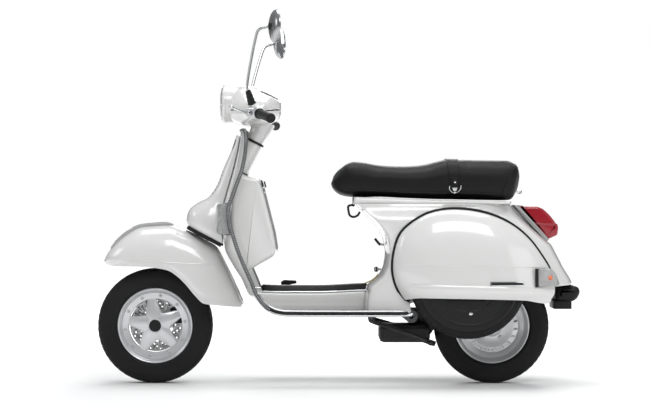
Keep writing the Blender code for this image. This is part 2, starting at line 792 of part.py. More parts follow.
front_rim()
turned("front_disc", [(0.099, 0.0222), (0.099, 0.0262), (0.0335, 0.0262), (0.0335, 0.0310),
                      (0.0140, 0.0310), (0.0140, 0.0222)],
       FRONT_AXLE, Y_AXIS, STEEL, sides=28)
rear_rim = turned(
    "rear_rim",
    [(RIM_LIP_RADIUS, -0.034), (RIM_LIP_RADIUS, 0.034), (0.132, 0.034), (0.123, 0.012),
     (0.098, -0.002), (0.098, 0.046), (0.034, 0.046), (0.034, 0.030), (0.0125, 0.030),
     (0.0125, -0.024), (0.034, -0.024), (0.040, -0.014), (0.096, -0.016), (0.124, -0.006),
     (0.131, -0.034)],
    REAR_AXLE, Y_AXIS, STEEL,
)

# ---------------------------------------------------------------- fork, link and fender
FORK_Y = 0.080
LINK_SIDE = Vector((LINK_PIVOT.x, FORK_Y, LINK_PIVOT.z))
FRONT_LOW = Vector((-0.662, FORK_Y, 0.252))
FRONT_HIGH = Vector((-0.543, FORK_Y, 0.392))


def fork():
    path = [steer_point(0.002), steer_point(0.20), steer_point(0.405)]
    bend = [
        steer_point(0.405),
        steer_point(0.440, 0.0, 0.006),
        steer_point(0.468, 0.0, 0.034),
        steer_point(0.492, 0.0, 0.064),
        steer_point(0.520, -0.004, FORK_Y),
        Vector((-0.662, FORK_Y, 0.3720)),
        Vector((-0.742, FORK_Y, 0.2920)),
        LINK_SIDE + Vector((-0.006, 0.0, -0.006)),
    ]
    path = path[:-1] + smooth_path(bend, 2)
    radii = []
    for i in range(len(path)):
        radii.append(0.019 if i < 4 else 0.0155)
    leg = swept_tube("fork", path, radii, STEEL, sides=10)
    pivot = rod("fork_pivot", LINK_SIDE, LINK_SIDE - Y_AXIS * 0.032, 0.008, STEEL)
    boss = rod("fork_boss", LINK_SIDE - Y_AXIS * 0.0150, LINK_SIDE + Y_AXIS * 0.0160, 0.019, STEEL)
    lug = rod("fork_lug", steer_point(0.515, 0.0, FORK_Y + 0.011), FRONT_HIGH + Y_AXIS * 0.020,
              0.0065, STEEL, sides=10)
    pin = rod("fork_pin", FRONT_HIGH - Y_AXIS * 0.012, FRONT_HIGH + Y_AXIS * 0.023, 0.0055, STEEL)
    return join(leg, pivot, boss, lug, pin)


fork()


def front_link():
    side = Vector((FRONT_AXLE.x, 0.057, FRONT_AXLE.z))
    pivot = Vector((LINK_PIVOT.x, 0.057, LINK_PIVOT.z))
    outline = [
        (-0.781, 0.2085), (-0.775, 0.1945), (-0.762, 0.1890), (-0.685, 0.1880), (-0.664, 0.1960),
        (-0.657, 0.2145), (-0.650, 0.2380), (-0.651, 0.2600), (-0.668, 0.2660), (-0.680, 0.2560),
        (-0.715, 0.2360), (-0.762, 0.2280), (-0.775, 0.2225),
    ]
    arm = prism("front_link", outline, 0.0500, 0.0640, STEEL)
    hole = rod("link_hole", pivot - Y_AXIS * 0.03, pivot + Y_AXIS * 0.03, 0.0086, STEEL, sides=20)
    axle = rod("link_axle", Vector((side.x, -0.028, side.z)), Vector((side.x, 0.060, side.z)),
               0.0120, STEEL, sides=20)
    pin = rod("link_pin", Vector((FRONT_LOW.x, 0.060, FRONT_LOW.z)),
              Vector((FRONT_LOW.x, 0.092, FRONT_LOW.z)), 0.0055, STEEL)
    join(arm, axle, pin)
    return cut(arm, hole)


front_link()


def caliper():
    outline = []
    for radius, start, end in ((0.112, 4, 46), (0.050, 46, 4)):
        for i in range(5):
            angle = math.radians(start + (end - start) * i / 4)
            outline.append((FRONT_AXLE.x + radius * math.cos(angle),
                            FRONT_AXLE.z + radius * math.sin(angle)))
    body = prism("front_caliper", outline, 0.0130, 0.0490, PLASTIC)
    slot = turned("caliper_slot", [(0.1005, 0.0200), (0.1005, 0.0285), (0.0100, 0.0285),
                                   (0.0100, 0.0200)], FRONT_AXLE, Y_AXIS, PLASTIC)
    rounding = body.modifiers.new("rounding", "BEVEL")
    rounding.width = 0.003
    rounding.segments = 1
    return cut(body, slot)


caliper()

# centre line X and Z, lower edge X and Z, half width
FENDER_TABLE = [
    (-0.8780, 0.4560, -0.8560, 0.4400, 0.040),
    (-0.8640, 0.4840, -0.8350, 0.4385, 0.070),
    (-0.8350, 0.5180, -0.8050, 0.4380, 0.091),
    (-0.7900, 0.5570, -0.7600, 0.4378, 0.103),
    (-0.7350, 0.5830, -0.7200, 0.4370, 0.109),
    (-0.6300, 0.5900, -0.6350, 0.4250, 0.113),
    (-0.5800, 0.5750, -0.6000, 0.4050, 0.113),
    (-0.5350, 0.5560, -0.5650, 0.3720, 0.113),
    (-0.4900, 0.5310, -0.5300, 0.3300, 0.112),
    (-0.4580, 0.5100, -0.4950, 0.3000, 0.110),
    (-0.4260, 0.4550, -0.4500, 0.2945, 0.106),
    (-0.3960, 0.3950, -0.4100, 0.2905, 0.100),
    (-0.3720, 0.3400, -0.3800, 0.2885, 0.094),
    (-0.3560, 0.3050, -0.3600, 0.2885, 0.086),
]
# distance down the steering axis, largest sweep radius that clears the legshield
SWEEP_LIMIT = [
    (0.3900, 0.060), (0.4030, 0.072), (0.4397, 0.122), (0.4781, 0.182), (0.5118, 0.226),
    (0.5260, 0.258), (0.5500, 0.290),
]


def swing_inside(point):
    """Pull a fender point in so that it clears the legshield through the whole steering lock."""
    offset = point - STEER_TOP
    down = offset.dot(STEER_DOWN)
    back = offset.dot(STEER_BACK)
    reach = math.hypot(back, point.y)
    bearing = math.atan2(abs(point.y), back)
    spread = min(max(bearing - math.radians(40), 0.0), math.radians(68))
    limit = along_curve(SWEEP_LIMIT, down)[0] / math.cos(spread)
    if reach <= limit or reach < 0.001:
        return point
    return steer_point(down, back * limit / reach, point.y * limit / reach)


def fender_rows(columns=11):
    rows = []
    for x, z, low_x, low_z, half in FENDER_TABLE:
        row = []
        for k in range(columns):
            angle = math.pi * (k / (columns - 1) - 0.5)
            y = half * math.copysign(abs(math.sin(angle)) ** 0.85, angle)
            drop = 1 - max(math.cos(angle), 0.0) ** 0.75
            point = Vector((x + (low_x - x) * drop, y, z + (low_z - z) * drop))
            row.append(swing_inside(point))
        rows.append(row)
    return rows


fender = sheet("front_fender", fender_rows(), SHEET, PAINT, Z_AXIS)
column_cutter = rod("column_cutter", steer_point(0.35), steer_point(0.45), 0.0225, STEEL, sides=20)
cut(fender, column_cutter)


# ---------------------------------------------------------------- dampers and springs
def damper(prefix, top, low, tube_radius, rod_radius, spring_radius, turns):
    """A damper tube with its top eye, a rod with its low eye and the coil spring round them."""
    down = (low - top).normalized()
    length = (low - top).length
    eye = [(0.0130, -0.008), (0.0130, 0.008), (0.0090, 0.008), (0.0090, -0.008)]
    collar = spring_radius + 0.002
    tube = lathe(
        f"{prefix}_damper_tube",
        [(0.009, 0.0100), (collar, 0.0180), (collar, 0.0220), (tube_radius, 0.0220),
         (tube_radius, length * 0.60)],
        top, down, STEEL, sides=16,
    )
    ring = turned(f"{prefix}_top_eye", eye, top, Y_AXIS, STEEL, sides=16)
    bore = rod(f"{prefix}_bore", top + down * 0.030, top + down * length * 0.70,
               rod_radius + 0.0012, STEEL, sides=12)
    join(tube, ring)
    cut(tube, bore)
    stem = lathe(
        f"{prefix}_damper_rod",
        [(rod_radius, length * 0.50), (rod_radius, length - 0.0240), (collar, length - 0.0240),
         (collar, length - 0.0190), (0.009, length - 0.0100)],
        top, down, CHROME, sides=14,
    )
    low_eye = turned(f"{prefix}_low_eye", eye, low, Y_AXIS, STEEL, sides=16)
    join(stem, low_eye)
    start = 0.0222 + 0.0034
    end = length - 0.0242 - 0.0034
    first = down.orthogonal().normalized()
    second = down.cross(first)
    path = []
    steps = int(turns * 8)
    for i in range(steps + 1):
        angle = 2 * math.pi * i / 8
        spot = top + down * (start + (end - start) * i / steps)
        path.append(spot + (first * math.cos(angle) + second * math.sin(angle)) * spring_radius)
    swept_tube(f"{prefix}_spring", path, 0.0030, STEEL, sides=5)


damper("front", FRONT_HIGH, FRONT_LOW, 0.0095, 0.0045, 0.0140, 5)
damper("rear", SHOCK_TOP, SHOCK_LOW, 0.0110, 0.0050, 0.0165, 5)

# ---------------------------------------------------------------- engine
ARM_LOW, ARM_HIGH = 0.0560, 0.1250


def crankcase():
    outline = [
        (0.2420, 0.2400), (0.2900, 0.2050), (0.4500, 0.1750), (0.6000, 0.1650), (0.6400, 0.1900),
        (0.6450, 0.2300), (0.6200, 0.2550), (0.5200, 0.2800), (0.4600, 0.3100), (0.3400, 0.3100),
        (0.2950, 0.2750), (0.2500, 0.2750),
    ]
    case = prism("crankcase", outline, ARM_LOW, ARM_HIGH, ENGINE_GREY)
    tube = rod("case_tube", ENGINE_PIVOT - Y_AXIS * 0.088, ENGINE_PIVOT + Y_AXIS * 0.110, 0.024,
               ENGINE_GREY, sides=20)
    axle = rod("case_axle", REAR_AXLE - Y_AXIS * 0.022, REAR_AXLE + Y_AXIS * 0.080, 0.0120, STEEL,
               sides=20)
    lug = block("case_lug", (0.622, 0.0900, 0.230), (0.652, 0.1010, 0.296), ENGINE_GREY)
    pin = rod("case_pin", SHOCK_LOW - Y_AXIS * 0.014, SHOCK_LOW + Y_AXIS * 0.022, 0.0055, STEEL)
    barrel = block("case_barrel", (0.335, 0.1200, 0.215), (0.455, 0.1700, 0.330), ENGINE_GREY)
    airbox = block("case_airbox", (0.350, 0.1060, 0.300), (0.500, 0.1680, 0.420), ENGINE_GREY)
    boss = rod("case_boss", Vector((0.330, 0.110, 0.222)), Vector((0.330, 0.196, 0.222)), 0.013,
               ENGINE_GREY)
    bore = rod("case_bore", ENGINE_PIVOT - Y_AXIS * 0.15, ENGINE_PIVOT + Y_AXIS * 0.15, 0.0086,
               ENGINE_GREY, sides=20)
    fan = lathe(
        "case_fan",
        [(0.094, 0.1600), (0.098, 0.172), (0.098, 0.198), (0.086, 0.212), (0.040, 0.214)],
        Vector((0.445, 0.0, 0.290)), Y_AXIS, ENGINE_GREY, sides=28,
    )
    join(case, tube, axle, lug, pin, barrel, airbox, boss, fan)
    return cut(case, bore)


crankcase()


def silencer():
    box = block("silencer", (0.150, -0.090, 0.155), (0.340, 0.050, 0.2230), EXHAUST_BLACK, bevel=0.018)
    pipe = swept_tube(
        "silencer_pipe",
        smooth_path([Vector((0.300, 0.020, 0.180)), Vector((0.318, 0.070, 0.172)),
                     Vector((0.335, 0.122, 0.171)), Vector((0.352, 0.143, 0.186)),
                     Vector((0.360, 0.146, 0.2095))], 3),
        0.011, EXHAUST_BLACK,
    )
    outlet = rod("silencer_outlet", Vector((0.300, -0.075, 0.170)), Vector((0.356, -0.100, 0.152)),
                 0.010, EXHAUST_BLACK)
    return join(box, pipe, outlet)


silencer()


def kickstart_lever():
    path = smooth_path([
        Vector((0.330, 0.2050, 0.222)), Vector((0.320, 0.2150, 0.250)), Vector((0.304, 0.2480, 0.290)),
        Vector((0.294, 0.2760, 0.325)), Vector((0.290, 0.2820, 0.348)), Vector((0.286, 0.3150, 0.352)),
    ], 3)
    radii = [0.0075] * (len(path) - 4) + [0.010] * 4
    arm = swept_tube("kickstart_lever", path, radii, STEEL)
    hub = rod("kick_hub", Vector((0.330, 0.1966, 0.222)), Vector((0.330, 0.2130, 0.222)), 0.014, STEEL)
    return join(arm, hub)


kickstart_lever()

# ---------------------------------------------------------------- stand, pedal and small controls
STAND_PIVOT = Vector((0.120, 0.0, 0.236))


def centre_stand():
    half = [
        Vector((STAND_PIVOT.x, 0.0, STAND_PIVOT.z)),
        Vector((STAND_PIVOT.x, 0.080, STAND_PIVOT.z)),
        Vector((STAND_PIVOT.x + 0.012, 0.104, STAND_PIVOT.z - 0.004)),
        Vector((STAND_PIVOT.x + 0.100, 0.140, 0.205)),
        Vector((STAND_PIVOT.x + 0.205, 0.150, 0.164)),
        Vector((STAND_PIVOT.x + 0.218, 0.172, 0.158)),
    ]
    path = [mirror_y(p) for p in reversed(half[1:])] + half
    return swept_tube("centre_stand", path, 0.0085, STEEL, sides=10)


centre_stand()


def stand_eyes():
    """Two lugs under the floor that the stand turns in."""
    hole = rod("stand_hole", STAND_PIVOT - Y_AXIS * 0.12, STAND_PIVOT + Y_AXIS * 0.12, 0.0095,
               STEEL, sides=20)
    for sign in (-1, 1):
        eye = block(f"stand_eye_{sign}", (0.104, sign * 0.060 - 0.010, 0.2220),
                    (0.136, sign * 0.060 + 0.010, 0.2690), STEEL)
        join(floorboard, eye)
    cut(floorboard, hole)


stand_eyes()

PEDAL_PIVOT = Vector((-0.140, 0.0, 0.2850))


def brake_pedal():
    outline = [(-0.131, 0.2850), (-0.134, 0.2770), (-0.140, 0.2750), (-0.149, 0.2800),
               (-0.215, 0.3600), (-0.218, 0.3720), (-0.207, 0.3800), (-0.160, 0.3780),
               (-0.158, 0.3680), (-0.188, 0.3620), (-0.140, 0.2960)]
    return prism("brake_pedal", outline, 0.080, 0.118, STEEL)


brake_pedal()

swept_tube(
    "bag_hook",
    smooth_path([Vector((0.0560, 0.0, 0.6660)), Vector((0.0400, 0.0, 0.6600)),
                 Vector((0.0400, 0.0, 0.6340)), Vector((0.0560, 0.0, 0.6200)),
                 Vector((0.0780, 0.0, 0.6300)), Vector((0.0800, 0.0, 0.6400))], 3),
    0.0042, CHROME, sides=8,
)
lathe("choke_knob", [(0.0040, 0.0), (0.0040, 0.010), (0.0095, 0.012), (0.0095, 0.024), (0.006, 0.027)],
      Vector((0.1590, -0.045, 0.4260)), -X_AXIS, PLASTIC, sides=14)

# ---------------------------------------------------------------- headset
# station Y, centre X, seam height, reach along X, rise above the seam, depth below it
HEADSET_TABLE = [
    (0.000, -0.3150, 1.0200, 0.100, 0.093, 0.058),
    (0.035, -0.3150, 1.0200, 0.098, 0.091, 0.057),
    (0.065, -0.3140, 1.0190, 0.088, 0.080, 0.053),
    (0.095, -0.3120, 1.0160, 0.066, 0.054, 0.044),
    (0.125, -0.3090, 1.0125, 0.045, 0.034, 0.034),
    (0.155, -0.3050, 1.0080, 0.032, 0.027, 0.028),
    (0.184, -0.3005, 1.0030, 0.026, 0.024, 0.024),
]


def headset_ring(y, x, seam, reach, rise, depth, upper):
    ring = []
    for k in range(9):
        angle = math.pi * k / 8
        c, s = math.cos(angle), math.sin(angle)
        skew = 1 - 0.42 * max(c, 0.0) if upper else 1.0
        px = x + reach * math.copysign(abs(c) ** 0.8, c)
        if upper:
            pz = seam + GAP / 2 + rise * (s ** 0.75) * skew
        else:
            pz = seam - GAP / 2 - depth * s ** 0.8
        ring.append(Vector((px, y, pz)))
    return ring


def headset_half(name, upper):
    table = [(-row[0], *row[1:]) for row in reversed(HEADSET_TABLE[1:])] + HEADSET_TABLE
    return loft(name, [headset_ring(*row, upper) for row in table], PAINT)


LAMP_CENTRE = Vector((0.0, 0.0, 1.0430))
SPEEDO_AXIS = Vector((0.42, 0.0, 0.907)).normalized()
SPEEDO_CENTRE = Vector((-0.2620, 0.0, 1.0720))
headset_upper = headset_half("headset_upper", True)
lamp_cup = rod("lamp_cup", LAMP_CENTRE + X_AXIS * -0.330, LAMP_CENTRE + X_AXIS * -0.424, 0.069,
               PAINT, end_radius=0.0705, sides=24)
speedo_cutter = rod("speedo_cutter", SPEEDO_CENTRE - SPEEDO_AXIS * 0.010,
                    SPEEDO_CENTRE + SPEEDO_AXIS * 0.05, 0.0366, PAINT, sides=20)
join(headset_upper, lamp_cup)
cut(headset_upper, speedo_cutter)

headset_lower = headset_half("headset_lower", False)
neck = rod("headset_neck", steer_point(0.012), steer_point(-0.090), 0.030, PAINT, end_radius=0.042,
           sides=24)
neck_bore = rod("neck_bore", steer_point(0.03), steer_point(-0.004), 0.0196, PAINT, sides=20)
lamp_clear = rod("lamp_clear", LAMP_CENTRE + X_AXIS * -0.329, LAMP_CENTRE + X_AXIS * -0.46, 0.0712,
                 PAINT, sides=24)
upper_clear = block("upper_clear", (-0.50, -0.05, 1.0197), (-0.10, 0.05, 1.20), PAINT)
join(headset_lower, neck)
cut(headset_lower, neck_bore, lamp_clear, upper_clear)

lathe("headlight_lens", [(0.0690, 0.4246), (0.0690, 0.4300), (0.0600, 0.4375), (0.0350, 0.4415),
                         (0.0100, 0.4424)], LAMP_CENTRE, -X_AXIS, CLEAR_LENS, sides=24)
lathe("speedometer", [(0.0360, -0.0094), (0.0360, 0.0030), (0.0330, 0.0060)],
      SPEEDO_CENTRE, SPEEDO_AXIS, PLASTIC, sides=20)

# ---------------------------------------------------------------- grips, levers and mirrors
GRIP_INNER = Vector((-0.2890, 0.2150, 0.9980))
GRIP_OUTER = Vector((-0.2420, 0.3450, 0.9750))
GRIP_AXIS = (GRIP_OUTER - GRIP_INNER).normalized()
GRIP_PROFILE = [
    (0.0195, 0.000), (0.0195, 0.004), (0.0150, 0.008), (0.0160, 0.040), (0.0165, 0.100),
    (0.0180, 0.132), (0.0180, 0.1375), (0.0120, 0.1400),
]
BAR_START = -0.0235


def side_of(point, sign):
    return Vector((point.x, point.y * sign, point.z))


def lever_pivot(sign):
    return side_of(Vector((-0.3270, 0.2000, 1.0020)), sign)


def perch(name, sign):
    """The clamp round the bar end that carries a lever."""
    axis = side_of(GRIP_AXIS, sign)
    inner = side_of(GRIP_INNER, sign)
    collar = lathe(name, [(0.0215, BAR_START), (0.0225, -0.014), (0.0205, -0.0006)],
                   inner, axis, ALLOY, sides=20)
    pivot = lever_pivot(sign)
    ear = block(f"{name}_ear", (pivot.x - 0.011, pivot.y - 0.010, pivot.z - 0.016),
                (pivot.x + 0.022, pivot.y + 0.010, pivot.z + 0.016), ALLOY)
    slot = block(f"{name}_slot", (pivot.x - 0.020, pivot.y - 0.030, pivot.z - 0.0075),
                 (pivot.x + 0.0110, pivot.y + 0.030, pivot.z + 0.0075), ALLOY)
    join(collar, ear)
    return cut(collar, slot)


def lever(name, sign):
    pivot = lever_pivot(sign)
    path = smooth_path([
        pivot, side_of(Vector((-0.3480, 0.2250, 1.0040)), sign),
        side_of(Vector((-0.3680, 0.2700, 1.0090)), sign),
        side_of(Vector((-0.3800, 0.3100, 1.0140)), sign),
        side_of(Vector((-0.3850, 0.3280, 1.0160)), sign),
    ], 3)
    radii = [0.0066, 0.0066, 0.0062, 0.0058, 0.0055, 0.0052, 0.0050, 0.0050, 0.0050, 0.0050, 0.0062,
             0.0085, 0.0060]
    arm = swept_tube(name, path, radii, ALLOY, sides=10)
    eye = rod(f"{name}_eye", pivot - Z_AXIS * 0.0069, pivot + Z_AXIS * 0.0069, 0.0095, ALLOY)
    return join(arm, eye)


def mirror(side, sign):
    path = smooth_path([
        side_of(Vector((-0.3180, 0.1660, 1.0375)), sign),
        side_of(Vector((-0.3290, 0.1850, 1.0750)), sign),
        side_of(Vector((-0.3340, 0.1960, 1.1000)), sign),
        side_of(Vector((-0.3220, 0.2500, 1.1650)), sign),
        side_of(Vector((-0.2980, 0.3350, 1.2620)), sign),
        side_of(Vector((-0.2840, 0.3630, 1.2900)), sign),
        side_of(Vector((-0.2520, 0.3655, 1.3010)), sign),
    ], 3)
    radii = [0.0140, 0.0135, 0.0125, 0.0115, 0.0100, 0.0080] + [0.0050] * (len(path) - 6)
    swept_tube(f"mirror_stalk_{side}", path, radii, CHROME)
    axis = side_of(Vector((math.cos(math.radians(17)), -math.sin(math.radians(17)), 0.0)), sign)
    centre = side_of(Vector((-0.2300, 0.3600, 1.3020)), sign)
    lathe(f"mirror_head_{side}",
          [(0.0120, -0.0160), (0.0350, -0.0130), (0.0540, -0.0050), (0.0610, 0.0040), (0.0600, 0.0070)],
          centre, axis, CHROME, sides=20)


for label, sign in (("left", -1), ("right", 1)):
    mirror(label, sign)
gear_perch = perch("gear_perch", -1)
perch("brake_perch", 1)
lever("clutch_lever", -1)
lever("brake_lever", 1)
gear_grip = lathe("gear_grip", [(0.0190, -0.0040)] + GRIP_PROFILE, side_of(GRIP_INNER, -1),
                  side_of(GRIP_AXIS, -1), RUBBER, sides=16)
join(gear_grip, gear_perch)
lathe("throttle_grip", GRIP_PROFILE, GRIP_INNER, GRIP_AXIS, RUBBER, sides=16)
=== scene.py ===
"""Looks for the moped scooter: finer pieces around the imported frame, materials, light and camera.

Units are metres, in the same frame as the CAD: -X is forward, +Z is up, the rider's left is -Y.
"""

import math
from bisect import bisect_right

import bmesh
import bpy
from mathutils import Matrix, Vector


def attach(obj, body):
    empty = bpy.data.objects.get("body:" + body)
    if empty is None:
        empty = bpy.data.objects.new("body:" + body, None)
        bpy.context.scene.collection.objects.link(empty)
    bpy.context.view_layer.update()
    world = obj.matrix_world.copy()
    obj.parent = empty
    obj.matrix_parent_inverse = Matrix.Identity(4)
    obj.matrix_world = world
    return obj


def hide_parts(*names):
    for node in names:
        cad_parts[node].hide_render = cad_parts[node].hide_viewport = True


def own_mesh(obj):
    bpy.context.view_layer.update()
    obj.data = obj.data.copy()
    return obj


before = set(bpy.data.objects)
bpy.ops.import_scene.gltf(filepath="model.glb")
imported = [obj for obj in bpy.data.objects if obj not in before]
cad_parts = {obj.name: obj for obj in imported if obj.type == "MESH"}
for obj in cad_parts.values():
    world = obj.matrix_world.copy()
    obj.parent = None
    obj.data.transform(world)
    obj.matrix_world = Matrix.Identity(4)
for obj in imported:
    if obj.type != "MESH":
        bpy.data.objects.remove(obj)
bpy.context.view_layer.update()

X_AXIS, Y_AXIS, Z_AXIS = Vector((1, 0, 0)), Vector((0, 1, 0)), Vector((0, 0, 1))
FRONT_AXLE = Vector((-0.685, 0.0, 0.2145))
REAR_AXLE = Vector((0.573, 0.0, 0.2145))
SPARE_CENTRE = Vector((0.473, -0.17, 0.39))
RAKE = math.radians(27.5)
STEER_TOP = Vector((-0.316, 0.0, 0.9))
STEER_DOWN = Vector((-math.sin(RAKE), 0.0, -math.cos(RAKE)))
STEER_BACK = Vector((math.cos(RAKE), 0.0, -math.sin(RAKE)))
BODY_HALF = 0.168
SIDES = (("left", -1), ("right", 1))
LEG_TOP = 0.937
FLOOR_TOP, FLOOR_HALF = 0.271, 0.234
BODY_TOP = 0.668
DAMPER_SEAT = 0.0256
FRONT_DAMPER_TOP = Vector((-0.543, 0.08, 0.392))
DIAL_CENTRE, DIAL_OUT = Vector((-0.262, 0.0, 1.072)), Vector((0.42, 0.0, 0.907))


# ---------------------------------------------------------------- curves and tables
def steer_point(down, back=0.0, side=0.0):
    """A point by its place along the steering axis, behind it and beside it."""
    return STEER_TOP + STEER_DOWN * down + STEER_BACK * back + Y_AXIS * side


def between(value, low, high):
    """0 below low, 1 above high and a smooth step from one to the other."""
    t = min(max((value - low) / (high - low), 0.0), 1.0)
    return t * t * (3 - 2 * t)


def smooth_table(table):
    """A function that reads rows of (rising key, numbers...) with a monotone cubic curve."""
    keys = [row[0] for row in table]
    columns = list(zip(*[row[1:] for row in table]))
    slopes = []
    for column in columns:
        secants = []
        for i in range(len(keys) - 1):
            secants.append((column[i + 1] - column[i]) / (keys[i + 1] - keys[i]))
        slope = [secants[0]]
        for s0, s1 in zip(secants, secants[1:]):
            slope.append(0.0 if s0 * s1 <= 0 else 2 * s0 * s1 / (s0 + s1))
        slope.append(secants[-1])
        slopes.append(slope)

    def read(value):
        value = min(max(value, keys[0]), keys[-1])
        i = min(max(bisect_right(keys, value) - 1, 0), len(keys) - 2)
        h = keys[i + 1] - keys[i]
        t = (value - keys[i]) / h
        a, b = (1 + 2 * t) * (1 - t) ** 2, t * t * (3 - 2 * t)
        c, d = t * (1 - t) ** 2 * h, t * t * (t - 1) * h
        return tuple(
            col[i] * a + col[i + 1] * b + m[i] * c + m[i + 1] * d for col, m in zip(columns, slopes)
        )

    return read


def smooth_path(points, steps):
    """A curve through the points, with steps places on each stretch."""
    ends = [points[0] * 2 - points[1]] + list(points) + [points[-1] * 2 - points[-2]]
    path = []
    for i in range(1, len(ends) - 2):
        p0, p1, p2, p3 = ends[i - 1], ends[i], ends[i + 1], ends[i + 2]
        for k in range(steps):
            t = k / steps
            square = 2 * p0 - 5 * p1 + 4 * p2 - p3
            cube = 3 * p1 - p0 - 3 * p2 + p3
            path.append(0.5 * (2 * p1 + (p2 - p0) * t + square * t * t + cube * t * t * t))
    path.append(points[-1].copy())
    return path


def round_corners(points, radius, steps=5):
    """An outline of 2-D points with each corner replaced by a curve that starts radius before it."""
    out = []
    for i, corner in enumerate(points):
        corner = Vector(corner)
        before, after = Vector(points[i - 1]), Vector(points[(i + 1) % len(points)])
        a, b = before - corner, after - corner
        r = min(radius, a.length * 0.45, b.length * 0.45)
        start, end = corner + a.normalized() * r, corner + b.normalized() * r
        for k in range(steps + 1):
            t = k / steps
            out.append(start * (1 - t) ** 2 + corner * 2 * t * (1 - t) + end * t * t)
    return out


def vectors(*rows, sign=1):
    """Points from (x, y, z) rows, mirrored in y when sign is -1."""
    return [sided(row, sign) for row in rows]


def mirror_y(point):
    """A point moved to the other side of the scooter."""
    return Vector((point.x, -point.y, point.z))


def sided(point, sign):
    """A point given for the right side, moved to the side of sign."""
    return Vector((point[0], point[1] * sign, point[2]))


# ---------------------------------------------------------------- pieces
def finish_piece(thing, body, replaces=()):
    """Say which body a piece rides and the CAD nodes it stands for."""
    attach(thing, body)
    if replaces:
        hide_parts(*replaces)
    return thing


def bake(thing):
    """Turn a piece's modifiers into its mesh."""
    graph = bpy.context.evaluated_depsgraph_get()
    mesh = bpy.data.meshes.new_from_object(thing.evaluated_get(graph))
    thing.modifiers.clear()
    thing.data = mesh
    return thing


def mesh_piece(name, verts, faces, material, smooth=40.0, closed=True):
    """A mesh object with one material, smooth shaded up to the angle smooth."""
    mesh = bpy.data.meshes.new(name)
    mesh.from_pydata([tuple(v) for v in verts], [], faces)
    if closed:
        shape = bmesh.new()
        shape.from_mesh(mesh)
        bmesh.ops.recalc_face_normals(shape, faces=shape.faces)
        shape.to_mesh(mesh)
        shape.free()
    mesh.shade_smooth()
    mesh.set_sharp_from_angle(angle=math.radians(smooth))
    mesh.materials.append(material)
    thing = bpy.data.objects.new(name, mesh)
    bpy.context.scene.collection.objects.link(thing)
    return thing


def loft(name, rings, material, closed=False, smooth=40.0):
    """A skin over rings of equal length, capped at both ends or closed into a loop."""
    count = len(rings[0])
    verts = [p for ring in rings for p in ring]
    faces = []
    steps = len(rings) if closed else len(rings) - 1
    for i in range(steps):
        j = (i + 1) % len(rings)
        for k in range(count):
            m = (k + 1) % count
            faces.append((i * count + k, i * count + m, j * count + m, j * count + k))
    if not closed:
        faces.append(tuple(range(count)))
        faces.append(tuple((len(rings) - 1) * count + k for k in range(count)))
    return mesh_piece(name, verts, faces, material, smooth)


def panel(name, rows, thickness, material, outside, ring=False, smooth=50.0, keep=None):
    """A pressed sheet through a grid whose rows lie on the outer face."""
    width = len(rows[0])
    verts = [p for row in rows for p in row]
    faces = []
    for i in range(len(rows) - 1):
        for k in range(width if ring else width - 1):
            m = (k + 1) % width
            face = (i * width + k, i * width + m, (i + 1) * width + m, (i + 1) * width + k)
            if keep is None or all(keep(verts[v]) for v in face):
                faces.append(face)
    a, b, _, d = [verts[k] for k in faces[len(faces) // 2]]
    if (b - a).cross(d - a).dot(outside) < 0:
        faces = [tuple(reversed(face)) for face in faces]
    thing = mesh_piece(name, verts, faces, material, smooth, closed=False)
    solid = thing.modifiers.new("thickness", "SOLIDIFY")
    solid.thickness = thickness
    solid.offset = -1.0
    return thing


def around(axis):
    """Three directions at right angles, the first along axis."""
    axis = axis.normalized()
    first = axis.orthogonal().normalized()
    if abs(axis.y) > 0.99:
        first = X_AXIS
    return axis, first, axis.cross(first)


def turn_between(first, second, angle):
    """The direction at one angle from first towards second."""
    return first * math.cos(angle) + second * math.sin(angle)


def dense_ends(steps):
    """Values from -1 to 1, closer together near both ends."""
    return [math.sin(math.pi / 2 * (k / steps - 1)) for k in range(2 * steps + 1)]


def turned(name, profile, centre, axis, material, sides=64, closed=True, smooth=35.0):
    """A solid of revolution of (radius, distance along axis): a closed outline, or circles with caps."""
    axis, first, second = around(axis)
    rings = []
    if closed:
        for i in range(sides):
            angle = 2 * math.pi * i / sides
            spoke = turn_between(first, second, angle)
            rings.append([centre + spoke * r + axis * a for r, a in profile])
        return loft(name, rings, material, closed=True, smooth=smooth)
    for r, a in profile:
        ring = []
        for i in range(sides):
            angle = 2 * math.pi * i / sides
            ring.append(centre + axis * a + turn_between(first, second, angle) * r)
        rings.append(ring)
    return loft(name, rings, material, smooth=smooth)


def rod(name, start, end, radius, material, end_radius=None, sides=24, soft=0.0006):
    """A straight bar with its edges taken off."""
    end_radius = radius if end_radius is None else end_radius
    length = (end - start).length
    profile = [(radius - soft, 0.0), (radius, soft), (end_radius, length - soft),
               (end_radius - soft, length)]
    return turned(name, profile, start, end - start, material, sides, closed=False)


def tube(name, path, radius, material, sides=14, flat=1.0, closed=False):
    """A tube along a path. flat squeezes it across its second direction."""
    radii = radius if isinstance(radius, (list, tuple)) else [radius] * len(path)
    side = (path[1] - path[0]).orthogonal().normalized()
    rings = []
    for i, point in enumerate(path):
        if closed:
            before, after = path[i - 1], path[(i + 1) % len(path)]
        else:
            before, after = path[max(i - 1, 0)], path[min(i + 1, len(path) - 1)]
        along = (after - before).normalized()
        side = (side - along * side.dot(along)).normalized()
        across = along.cross(side)
        ring = []
        for k in range(sides):
            angle = 2 * math.pi * k / sides
            ring.append(point + (side * math.cos(angle) + across * math.sin(angle) * flat) * radii[i])
        rings.append(ring)
    return loft(name, rings, material, closed=closed)


